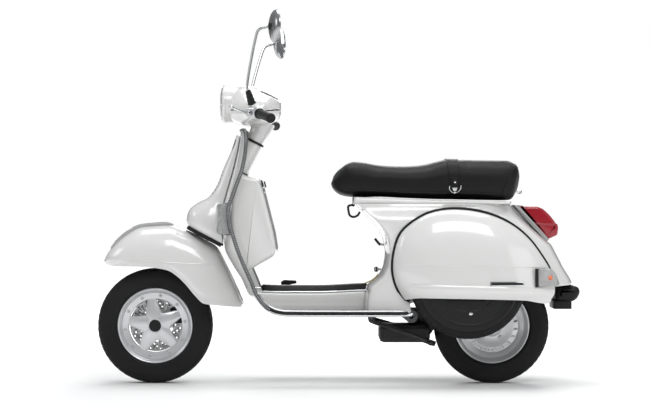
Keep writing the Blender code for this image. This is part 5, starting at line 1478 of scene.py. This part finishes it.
def seat_trimmings():
    """Welts, stitches, the strap with its buckles, and the lock behind the seat."""
    rear = []
    for k in range(49):
        angle = math.radians(-28 + 236 * k / 48)
        point = seat_point(0.645, angle, 0.002)
        lean = 0.03 * math.cos(math.radians(-28 + 236 * k / 48 - 90)) ** 2
        rear.append(on_seat(point + X_AXIS * (lean - 0.034 * (1 - between(point.z, 0.69, 0.8))) * 0.9,
                            0.0006))
    welts = [tube("rear_welt", smooth_path(rear, 2), 0.0021, LEATHER, sides=8)]
    for sign in (-1, 1):
        line = []
        for i in range(60):
            x = 0.012 + (0.64 - 0.012) * i / 59
            half, low, high = seat_table(x)
            line.append(on_seat(Vector((x, sign * (half + 0.01), low + 0.0065)), 0.0004))
        welts.append(tube("hem", line, 0.0024, LEATHER, sides=8))
    finish_piece(joined("seat_welts", welts), "seat")
    stitches = []
    for k in range(2, 94, 2):
        a = rear[k // 2]
        b = rear[min(k // 2 + 1, 48)]
        if (b - a).length > 0.001:
            spot = on_seat(a - X_AXIS * 0.0062, 0.0004)
            ahead = (b - a).normalized() * 0.0018
            stitches.append(tube("stitch", [spot - ahead, spot + ahead], 0.0006, THREAD, sides=6))
    finish_piece(joined("seat_stitches", stitches), "seat")
    rings = []
    for k in range(61):
        angle = math.radians(-16 + 212 * k / 60)
        up = max(math.sin(angle), 0.0)
        low, high = 0.4115 - 0.012 * up ** 0.5, 0.445 - 0.001 * up
        ring = []
        for x, lift in ((low, 0.0004), (low - 0.0008, 0.0018), (low + 0.0008, 0.0032),
                        (low + 0.004, 0.003), (high - 0.004, 0.003), (high - 0.0008, 0.0032),
                        (high + 0.0008, 0.0018), (high, 0.0004)):
            ring.append(on_seat(seat_point(x, angle, 0.004), lift))
        rings.append(ring)
    strap = loft("seat_strap_leather", rings, LEATHER, smooth=30)
    finish_piece(strap, "seat", ["seat_strap"])
    for label, sign in SIDES:
        def skin(x, z, lift, sign=sign):
            return on_seat(Vector((x, sign * 0.16, z)), lift)

        parts = []
        ring = [(0.409, 0.735), (0.409, 0.718), (0.418, 0.699), (0.4285, 0.6925), (0.439, 0.699),
                (0.449, 0.719), (0.4515, 0.737)]
        parts.append(tube("hoop", smooth_path([skin(x, z, 0.0035) for x, z in ring], 5), 0.0017, CHROME,
                          sides=10))

        def tab(u, v, h, skin=skin):
            return skin(0.429 + u * (0.0125 + 0.003 * v), 0.747 + v * 0.02, 0.003 + 0.003 * h)

        parts.append(pillow("tab", tab, LEATHER, 5, 12, 14))

        def plate(u, v, h, skin=skin):
            return skin(0.429 + u * (0.0085 + 0.0045 * v), 0.717 + v * 0.014, 0.001 + 0.0022 * h)

        parts.append(pillow("plate", plate, STEEL, 5, 12, 10))
        for x, z, size in ((0.429, 0.75, 0.0052), (0.4285, 0.701, 0.005)):
            spot = skin(x, z, 0.0042)
            parts.append(turned("rivet", [(size, -0.002), (size, 0.0006), (size * 0.8, 0.0022),
                                          (size * 0.2, 0.0028)], spot, Y_AXIS * sign, CHROME, 20,
                                closed=False))
        finish_piece(joined(f"seat_buckle_{label}", parts), "seat")
    lock = [rod("lock_barrel", Vector((0.67, 0.0, 0.715)), Vector((0.684, 0.0, 0.715)), 0.0085, CHROME),
            rod("lock_button", Vector((0.683, 0.0, 0.715)), Vector((0.6875, 0.0, 0.715)), 0.0062, PLASTIC)]
    finish_piece(joined("seat_lock", lock), "seat")


seat_trimmings()


def seat_rest():
    """The painted edge of the body that stands up round the seat pan."""
    wall = []
    for i in range(41):
        x = 0.06 + 0.57 * i / 40
        half, low, _ = seat_table(x)
        wall.append(Vector((x, -half * 0.935, low - 0.0022)))
    outline = vectors((0.056, 0.0, wall[0].z), (0.0565, -0.08, wall[0].z)) + wall
    outline += vectors((0.638, -0.08, wall[-1].z), (0.64, 0.0, wall[-1].z))
    top = smooth_path(outline, 3)
    top += [mirror_y(p) for p in reversed(top[1:-1])]
    rows = [[Vector((p.x, p.y, BODY_TOP)) for p in top], top]
    finish_piece(panel("seat_rest_flange", rows, 0.0025, PAINT, -Y_AXIS, ring=True), "body")


seat_rest()

# ---------------------------------------------------------------- fork and damper springs
def fork():
    """The fork tube, bent to one side round the wheel, with its pivot boss and damper pin."""
    bends = smooth_path([steer_point(0.405), steer_point(0.44, 0, 0.006), steer_point(0.468, 0, 0.034),
                         steer_point(0.492, 0, 0.064), steer_point(0.52, -0.004, 0.08),
                         Vector((-0.662, 0.08, 0.372)), Vector((-0.742, 0.08, 0.292)),
                         Vector((-0.768, 0.08, 0.2025))], 8)
    path = [steer_point(0.002), steer_point(0.1), steer_point(0.2), steer_point(0.3)] + bends
    radii = [0.019] * 4 + [0.019 - 0.0035 * between(i, 12, 40) for i in range(len(bends))]
    parts = [tube("stem", path, radii, STEEL, sides=28)]
    pivot = Vector((-0.762, 0.065, 0.2085))
    pin_end = Vector((-0.543, 0.1, 0.392))
    parts.append(rod("boss", pivot, pivot + Y_AXIS * 0.031, 0.019, STEEL, sides=36, soft=0.002))
    parts.append(rod("lug", steer_point(0.515, 0, 0.091), pin_end, 0.0065, STEEL))
    parts.append(rod("damper_pin", Vector((-0.543, 0.072, 0.392)), Vector((-0.543, 0.104, 0.392)), 0.0055,
                     STEEL))
    nut = turned("pin_nut", [(0.009, 0.0), (0.009, 0.006), (0.0082, 0.007)], pin_end,
                 Y_AXIS, CHROME, 6, closed=False, smooth=20)
    finish_piece(joined("fork_tube", parts + [nut]), "steering", ["fork"])


fork()


def damper_spring(label, top, low, radius, wire, turns):
    """A coil between the two seats of a damper."""
    along = low - top
    length = along.length
    axis, first, second = around(along)
    path = []
    steps = 26 * (turns + 2)
    for i in range(steps + 1):
        t = i / steps
        angle = 2 * math.pi * (turns + 2) * t
        rise = DAMPER_SEAT + wire + (length - 0.0532 - 2 * wire) * (
            0.94 * t + 0.06 * (between(t, 0.0, 1.0) * 2 - t) + 0.028 * math.sin(2 * math.pi * t))
        path.append(top + axis * rise + turn_between(first, second, angle) * radius)
    return tube(label, path, wire, CHROME, sides=12)


# side, joint, top and lower eye, coil radius, wire radius, turns, length kept when squashed
SPRINGS = [
    ("front", "front_link_swing", FRONT_DAMPER_TOP, Vector((-0.662, 0.08, 0.252)), 0.014, 0.003, 5, 0.92),
    ("rear", "engine_swing", Vector((0.66, 0.073, 0.478)), Vector((0.64, 0.073, 0.285)), 0.0165, 0.0034,
     6, 0.68),
]


def dampers():
    """Both coil springs, each riding its damper's tube."""
    for label, joint, top, low, radius, wire, turns, keep in SPRINGS:
        coil = damper_spring(f"{label}_coil", top, low, radius, wire, turns)
        finish_piece(coil, f"{label}_damper_tube", [f"{label}_spring"])
        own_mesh(coil)


dampers()

# ---------------------------------------------------------------- headset and lamp
# distance from the middle, x and height of the seam, reach, rise above it, depth below it
HEADSET_TABLE = [
    (0.0, -0.315, 1.02, 0.1, 0.093, 0.058), (0.035, -0.315, 1.02, 0.098, 0.091, 0.057),
    (0.065, -0.314, 1.019, 0.088, 0.08, 0.053), (0.095, -0.312, 1.016, 0.066, 0.054, 0.044),
    (0.125, -0.309, 1.0125, 0.045, 0.034, 0.034), (0.155, -0.305, 1.008, 0.032, 0.027, 0.028),
    (0.184, -0.3005, 1.003, 0.026, 0.024, 0.024),
]
headset_table = smooth_table(HEADSET_TABLE)
LAMP_CENTRE = Vector((0.0, 0.0, 1.043))
LAMP_OUT = -X_AXIS


def headset_ring(y, upper):
    """One section of the handlebar cover, above or below its seam."""
    x, seam, reach, rise, depth = headset_table(abs(y))
    ring = []
    for k in range(25):
        angle = math.pi * k / 24
        c, s = math.cos(angle), math.sin(angle)
        px = x - reach * math.copysign(abs(c) ** 0.8, c)
        if upper:
            if c < 0:
                px = x + reach * abs(c) ** 0.55
            slope = 1.0725 - 0.463 * (px + 0.262)
            ring.append(Vector((px, y, min(seam + 0.0006 + rise * s ** (0.75 if c > 0 else 0.55), slope))))
        else:
            ring.append(Vector((px, y, seam - 0.0006 - depth * s ** 0.8)))
    return ring


def headset():
    """Both halves of the handlebar cover, the lamp shell, the dark seam and two screws."""
    ys = [0.1835 * math.sin(math.pi / 2 * (k / 36 - 1)) for k in range(73)]
    top = loft("headset_top", [headset_ring(y, True) for y in ys], PAINT)
    cup = turned("cup", [(0.064, 0.3), (0.069, 0.345), (0.0705, 0.4), (0.0715, 0.421), (0.0705, 0.424)],
                 LAMP_CENTRE, LAMP_OUT, PAINT, 64, closed=False)
    upper = fused("headset_cover", [top, cup], 0.0028, 10)
    hollow = turned("hollow", [(0.065, 0.39), (0.065, 0.44)], LAMP_CENTRE, LAMP_OUT, SILVER, 64,
                    closed=False)
    cut_with(upper, hollow)
    axis = DIAL_OUT.normalized()
    well = rod("well", DIAL_CENTRE - axis * 0.009, DIAL_CENTRE + axis * 0.05, 0.038, PLASTIC, sides=64)
    cut_with(upper, well)
    for polygon in upper.data.polygons:
        polygon.use_smooth = True
    finish_piece(upper, "steering", ["headset_upper"])

    low = loft("headset_bottom", [headset_ring(y, False) for y in ys], PAINT)
    neck = rod("neck", steer_point(0.01), steer_point(-0.09), 0.03, PAINT, 0.042, 48)
    lower = fused("headset_base", [low, neck], 0.0028, 10)
    finish_piece(lower, "steering", ["headset_lower"])
    seam = []
    for sign in (-1, 1):
        line = []
        for k in range(56):
            y = 0.18 * (k / 27.5 - 1)
            x, level, reach, _, _ = headset_table(abs(y))
            line.append(Vector((x + sign * (reach - 0.0016), y, level)))
        seam.append(tube("seam", line, 0.0014, PLASTIC, sides=8))
    finish_piece(joined("headset_seam", seam), "steering")
    screws = []
    for sign in (-1, 1):
        spot = Vector((-0.4, sign * 0.048, 1.01))
        screws.append(turned("screw", [(0.0048, -0.004), (0.0048, 0.001), (0.0036, 0.0026),
                                       (0.0008, 0.003)], spot, Vector((-0.75, sign * 0.62, -0.25)), CHROME,
                             24, closed=False))
    finish_piece(joined("headset_screws", screws), "steering")


headset()


def headlight():
    """Lens, rim, reflector and bulb."""
    glass = turned("headlight_glass", [(0.068, 0.4246), (0.0684, 0.4296), (0.06, 0.4372), (0.048, 0.44),
                                       (0.035, 0.4412), (0.018, 0.4421), (0.004, 0.4424)], LAMP_CENTRE,
                   LAMP_OUT, CLEAR_LENS, 80, closed=False)
    finish_piece(glass, "steering", ["headlight_lens"])
    rim = turned("headlight_rim", [(0.069, 0.418), (0.0722, 0.42), (0.0728, 0.4245), (0.0712, 0.43),
                                   (0.069, 0.4318), (0.0676, 0.43), (0.0684, 0.424)], LAMP_CENTRE,
                 LAMP_OUT, PAINT, 80)
    finish_piece(rim, "steering")
    bowl = turned("headlight_bowl", [(0.064, 0.4236), (0.06, 0.41), (0.048, 0.4), (0.026, 0.395),
                                     (0.01, 0.394), (0.01, 0.3925), (0.028, 0.393), (0.05, 0.396),
                                     (0.062, 0.408), (0.0648, 0.4236)], LAMP_CENTRE, LAMP_OUT, REFLECTOR,
                  64)
    finish_piece(bowl, "steering")
    bulb = turned("headlight_bulb", [(0.004, 0.394), (0.008, 0.4), (0.009, 0.408), (0.006, 0.415),
                                     (0.001, 0.417)], LAMP_CENTRE, LAMP_OUT, GLASS, 32, closed=False)
    finish_piece(bulb, "steering")


headlight()


def speedometer():
    """The dial with its marks, needle and rings."""
    centre = DIAL_CENTRE
    axis, first, second = around(DIAL_OUT)
    case = turned("speedometer_case", [(0.036, -0.008), (0.0366, 0.003), (0.0352, 0.0062),
                                       (0.0322, 0.0066), (0.0312, 0.004), (0.0312, 0.0004),
                                       (0.001, 0.0004), (0.001, -0.008)], centre, axis, PLASTIC, 72)
    parts = [case, turned("ring", [(0.0352, 0.0058), (0.035, 0.0074), (0.0326, 0.0076), (0.0322, 0.0062)],
                          centre, axis, CHROME, 72)]
    parts.append(turned("dial", [(0.0308, 0.0006), (0.0308, 0.001)], centre, axis, DIAL, 64, closed=False))
    for k in range(23):
        spoke = turn_between(first, second, math.radians(-130 + 260 * k / 22))
        inner, radius = (0.0245, 0.0006) if k % 2 == 0 else (0.0268, 0.0004)
        line = [centre + axis * 0.0011 + spoke * reach for reach in (inner, 0.0292)]
        parts.append(tube("mark", line, radius, DIAL_INK, sides=6))
    pointer = turn_between(first, second, math.radians(-130))
    parts.append(tube("needle", [centre + axis * 0.0022 - pointer * 0.005,
                                 centre + axis * 0.0022 + pointer * 0.024], [0.0011, 0.0005], NEEDLE,
                      sides=8))
    parts.append(turned("hub", [(0.0038, 0.0008), (0.0038, 0.0028), (0.0028, 0.0036), (0.0006, 0.0038)],
                        centre, axis, PLASTIC, 24, closed=False))
    finish_piece(joined("speedometer_dial", parts), "steering", ["speedometer"])


speedometer()

# ---------------------------------------------------------------- handlebar controls
GRIP_INNER, GRIP_OUTER = (-0.289, 0.215, 0.998), (-0.242, 0.345, 0.975)
LEVER_PIVOT = (-0.327, 0.2, 1.002)
# radius, distance from the inner end
GRIP_PROFILE = [
    (0.0195, 0.0), (0.0198, 0.001), (0.0198, 0.0034), (0.019, 0.0046), (0.016, 0.0074), (0.0152, 0.009),
    (0.016, 0.04), (0.0165, 0.1), (0.0176, 0.128), (0.018, 0.133), (0.0176, 0.1368), (0.015, 0.1394),
    (0.008, 0.14),
]


def grip(label, sign, body, node):
    """A ribbed rubber grip between its two ends."""
    inner, outer = sided(GRIP_INNER, sign), sided(GRIP_OUTER, sign)
    axis, first, second = around(outer - inner)
    profile = smooth_table([(i * 1.0, r, a) for i, (r, a) in enumerate(GRIP_PROFILE)])
    rings = []
    for i in range(121):
        r, a = profile(12.0 * i / 120)
        rib = between(a, 0.012, 0.018) * (1 - between(a, 0.122, 0.128))
        ring = []
        for k in range(64):
            angle = 2 * math.pi * k / 64
            groove = 0.00055 * rib * (0.5 + 0.5 * math.cos(angle * 16)) + 0.00045 * rib * (
                0.5 + 0.5 * math.cos(2 * math.pi * a / 0.0065))
            spoke = turn_between(first, second, angle)
            ring.append(inner + axis * a + spoke * (r - groove))
        rings.append(ring)
    finish_piece(joined(f"grip_ribbed_{label}", [loft("grip", rings, RUBBER)]), body, [node])


def perch(sign):
    """The clamp collar on the bar with the forked ears the lever turns between."""
    inner, outer = sided(GRIP_INNER, sign), sided(GRIP_OUTER, sign)
    axis = (outer - inner).normalized()
    pivot = sided(LEVER_PIVOT, sign)
    collar = turned("collar", [(0.0205, -0.0235), (0.0225, -0.0205), (0.0225, -0.004), (0.0205, -0.0012)],
                    inner, axis, ALLOY, 48, closed=False)
    ears = prism("ears",
                 round_corners([(pivot.x - 0.011, pivot.z - 0.016), (pivot.x + 0.022, pivot.z - 0.016),
                                (pivot.x + 0.022, pivot.z + 0.016), (pivot.x - 0.011, pivot.z + 0.016)],
                               0.006, 5), pivot.y - 0.01, pivot.y + 0.01, 0.0025, ALLOY)
    body = fused("perch", [collar, ears], 0.0011, 6)
    slot = prism("slot", [(pivot.x - 0.03, pivot.z - 0.0075), (pivot.x + 0.0125, pivot.z - 0.0075),
                          (pivot.x + 0.0125, pivot.z + 0.0075), (pivot.x - 0.03, pivot.z + 0.0075)],
                 pivot.y - 0.03, pivot.y + 0.03, 0.0, ALLOY, 1)
    cut_with(body, slot)
    pin = rod("pin", pivot - Z_AXIS * 0.0172, pivot + Z_AXIS * 0.0172, 0.0036, CHROME)
    return [body, pin]


def lever(sign, body, node):
    """A tapered chrome blade with a ball at its end and an eye round the pivot."""
    pivot = sided(LEVER_PIVOT, sign)
    points = [pivot] + [Vector((x, sign * y, z)) for x, y, z in (
        (-0.348, 0.225, 1.004), (-0.368, 0.27, 1.009), (-0.38, 0.31, 1.014), (-0.385, 0.328, 1.016))]
    path = smooth_path(points, 10)
    radii = [0.0066 - 0.0016 * i / (len(path) - 1) for i in range(len(path))]
    blade = tube("blade", path, radii, CHROME, sides=20, flat=0.86)
    eye = turned("eye", [(0.0088, -0.0068), (0.0095, -0.0055), (0.0095, 0.0055), (0.0088, 0.0068)], pivot,
                 Z_AXIS, CHROME, 36, closed=False)
    end = path[-1]
    tip = (path[-1] - path[-2]).normalized()
    ball = turned("ball",
                  [(0.0085 * math.sin(math.pi * (k + 0.5) / 14),
                    -0.0085 * math.cos(math.pi * (k + 0.5) / 14)) for k in range(14)], end - tip * 0.001,
                  tip, CHROME, 32, closed=False)
    hole = rod("hole", pivot - Z_AXIS * 0.02, pivot + Z_AXIS * 0.02, 0.0042, CHROME)
    blade = fused("blade", [blade, eye, ball], 0.0011, 5)
    cut_with(blade, hole)
    for polygon in blade.data.polygons:
        polygon.use_smooth = True
    finish_piece(blade, body, [node])


def controls():
    """Both grips, perches and levers."""
    grip("left", -1, "gear_grip", "gear_grip")
    finish_piece(joined("gear_perch_cast", perch(-1)), "gear_grip")
    grip("right", 1, "throttle_grip", "throttle_grip")
    finish_piece(joined("brake_perch_cast", perch(1)), "steering", ["brake_perch"])
    lever(-1, "clutch_lever", "clutch_lever")
    lever(1, "brake_lever", "brake_lever")


controls()


def mirror(label, sign):
    """A mirror on its bent stalk, with a bellows boot at the foot."""
    stalk = [Vector((x, sign * y, z)) for x, y, z in (
        (-0.318, 0.166, 1.0375), (-0.329, 0.185, 1.075), (-0.334, 0.196, 1.1), (-0.322, 0.25, 1.165),
        (-0.298, 0.335, 1.262), (-0.284, 0.363, 1.29), (-0.252, 0.3655, 1.301))]
    path = smooth_path(stalk, 12)
    parts = [tube("rod", path, 0.005, SATIN, sides=20)]
    boot = path[:18]
    radii = []
    for i in range(18):
        bellows = 0.0007 * math.cos(2 * math.pi * i / 4)
        radii.append(0.015 - 0.0058 * i / 17 + bellows * (1 - between(i, 12, 17)))
    parts.append(tube("boot", boot, radii, RUBBER, sides=28))
    finish_piece(joined(f"mirror_stalk_bent_{label}", parts), f"mirror_stalk_{label}",
                 [f"mirror_stalk_{label}"])
    centre = Vector((-0.23, sign * 0.36, 1.302))
    axis = Vector((math.cos(math.radians(17)), -sign * math.sin(math.radians(17)), 0.0))
    shell = turned("shell", [(0.0115, -0.016), (0.024, -0.015), (0.038, -0.0122), (0.05, -0.0074),
                             (0.057, -0.0018), (0.0604, 0.0034), (0.0606, 0.006), (0.0598, 0.007),
                             (0.0578, 0.007), (0.0572, 0.0052), (0.002, 0.0048)], centre, axis, SATIN, 80,
                   closed=False)
    glass = turned("glass", [(0.057, 0.0046), (0.0568, 0.006), (0.056, 0.0064), (0.002, 0.0066)], centre,
                   axis, GLASS, 80, closed=False)
    socket = turned("socket", [(0.0125, -0.0205), (0.014, -0.018), (0.015, -0.0146)], centre, axis,
                    PLASTIC, 32, closed=False)
    finish_piece(joined(f"mirror_head_round_{label}", [shell, glass, socket]), f"mirror_head_{label}",
                 [f"mirror_head_{label}"])


for side_name, side_sign in SIDES:
    mirror(side_name, side_sign)

# ---------------------------------------------------------------- floor, light and camera


def floor_material():
    """A pale floor that gives off light away from the part, so that it stays white to the horizon."""
    material = bpy.data.materials.new("pale_floor")
    material.use_nodes = True
    nodes, links = material.node_tree.nodes, material.node_tree.links
    shader = nodes["Principled BSDF"]
    shader.inputs["Base Color"].default_value = (0.9, 0.9, 0.9, 1.0)
    shader.inputs["Roughness"].default_value = 0.65
    speckle = new_node(nodes, "ShaderNodeTexNoise", Scale=60.0)
    bump = new_node(nodes, "ShaderNodeBump", Strength=0.05, Distance=0.001)
    links.new(speckle.outputs["Fac"], bump.inputs["Height"])
    links.new(bump.outputs["Normal"], shader.inputs["Normal"])
    place = nodes.new("ShaderNodeTexCoord")
    away = nodes.new("ShaderNodeVectorMath")
    away.operation = "LENGTH"
    links.new(place.outputs["Object"], away.inputs[0])
    glow = new_node(nodes, "ShaderNodeMapRange", From_Min=1.1, From_Max=3.2, To_Min=0.0, To_Max=0.75)
    links.new(away.outputs["Value"], glow.inputs["Value"])
    shader.inputs["Emission Color"].default_value = (1.0, 1.0, 1.0, 1.0)
    links.new(glow.outputs["Result"], shader.inputs["Emission Strength"])
    return material


# name, place, the point it faces, width, height, power
LIGHTS = [
    ("key", (0.6, -3.4, 3.9), (0.1, 0.0, 0.6), 3.2, 1.4, 82),
    ("fill", (3.4, -2.6, 1.6), (0.2, 0.0, 0.6), 1.8, 1.8, 14),
    ("top", (0.1, 0.5, 4.2), (0.0, 0.0, 0.5), 3.6, 2.0, 92),
    ("back", (0.6, 3.8, 2.4), (0.0, 0.0, 0.6), 2.6, 1.6, 60),
    ("nose", (-4.2, -0.8, 2.4), (-0.4, 0.0, 0.6), 1.6, 1.4, 20),
]


def stage():
    """Floor, surroundings, soft lights and the camera."""
    size = 14.0
    mesh = bpy.data.meshes.new("floor")
    mesh.from_pydata([(-size, -size, 0), (size, -size, 0), (size, size, 0), (-size, size, 0)], [],
                     [(0, 1, 2, 3)])
    mesh.materials.append(floor_material())
    ground = bpy.data.objects.new("floor", mesh)
    bpy.context.scene.collection.objects.link(ground)

    world = bpy.data.worlds.new("studio")
    bpy.context.scene.world = world
    world.use_nodes = True
    nodes, links = world.node_tree.nodes, world.node_tree.links
    light = nodes["Background"]
    place = nodes.new("ShaderNodeTexCoord")
    height = nodes.new("ShaderNodeSeparateXYZ")
    links.new(place.outputs["Generated"], height.inputs[0])
    sky = new_node(nodes, "ShaderNodeMapRange", From_Min=0.02, From_Max=0.95, To_Min=0.2, To_Max=0.62)
    links.new(height.outputs["Z"], sky.inputs["Value"])
    links.new(sky.outputs["Result"], light.inputs["Strength"])
    light.inputs["Color"].default_value = (0.97, 0.985, 1.0, 1.0)
    seen = new_node(nodes, "ShaderNodeBackground", Color=(1.0, 1.0, 1.0, 1.0), Strength=1.0)
    ray = nodes.new("ShaderNodeLightPath")
    mix = nodes.new("ShaderNodeMixShader")
    links.new(ray.outputs["Is Camera Ray"], mix.inputs[0])
    links.new(light.outputs[0], mix.inputs[1])
    links.new(seen.outputs[0], mix.inputs[2])
    links.new(mix.outputs[0], nodes["World Output"].inputs["Surface"])

    for name, place, target, wide, tall, power in LIGHTS:
        lamp = bpy.data.lights.new(name, "AREA")
        lamp.shape = "RECTANGLE"
        lamp.size, lamp.size_y, lamp.energy = wide, tall, power
        holder = bpy.data.objects.new(name, lamp)
        holder.location = place
        holder.rotation_euler = (Vector(target) - Vector(place)).to_track_quat("-Z", "Y").to_euler()
        bpy.context.scene.collection.objects.link(holder)

    lens = bpy.data.cameras.new("camera")
    lens.lens = 103.3
    lens.sensor_width = 36.0
    camera = bpy.data.objects.new("camera", lens)
    camera.location = (-0.05, -7.0, 0.671)
    camera.rotation_euler = (math.pi / 2, 0.0, 0.0)
    bpy.context.scene.collection.objects.link(camera)
    bpy.context.scene.camera = camera
    bpy.context.scene.view_settings.view_transform = "Standard"


stage()
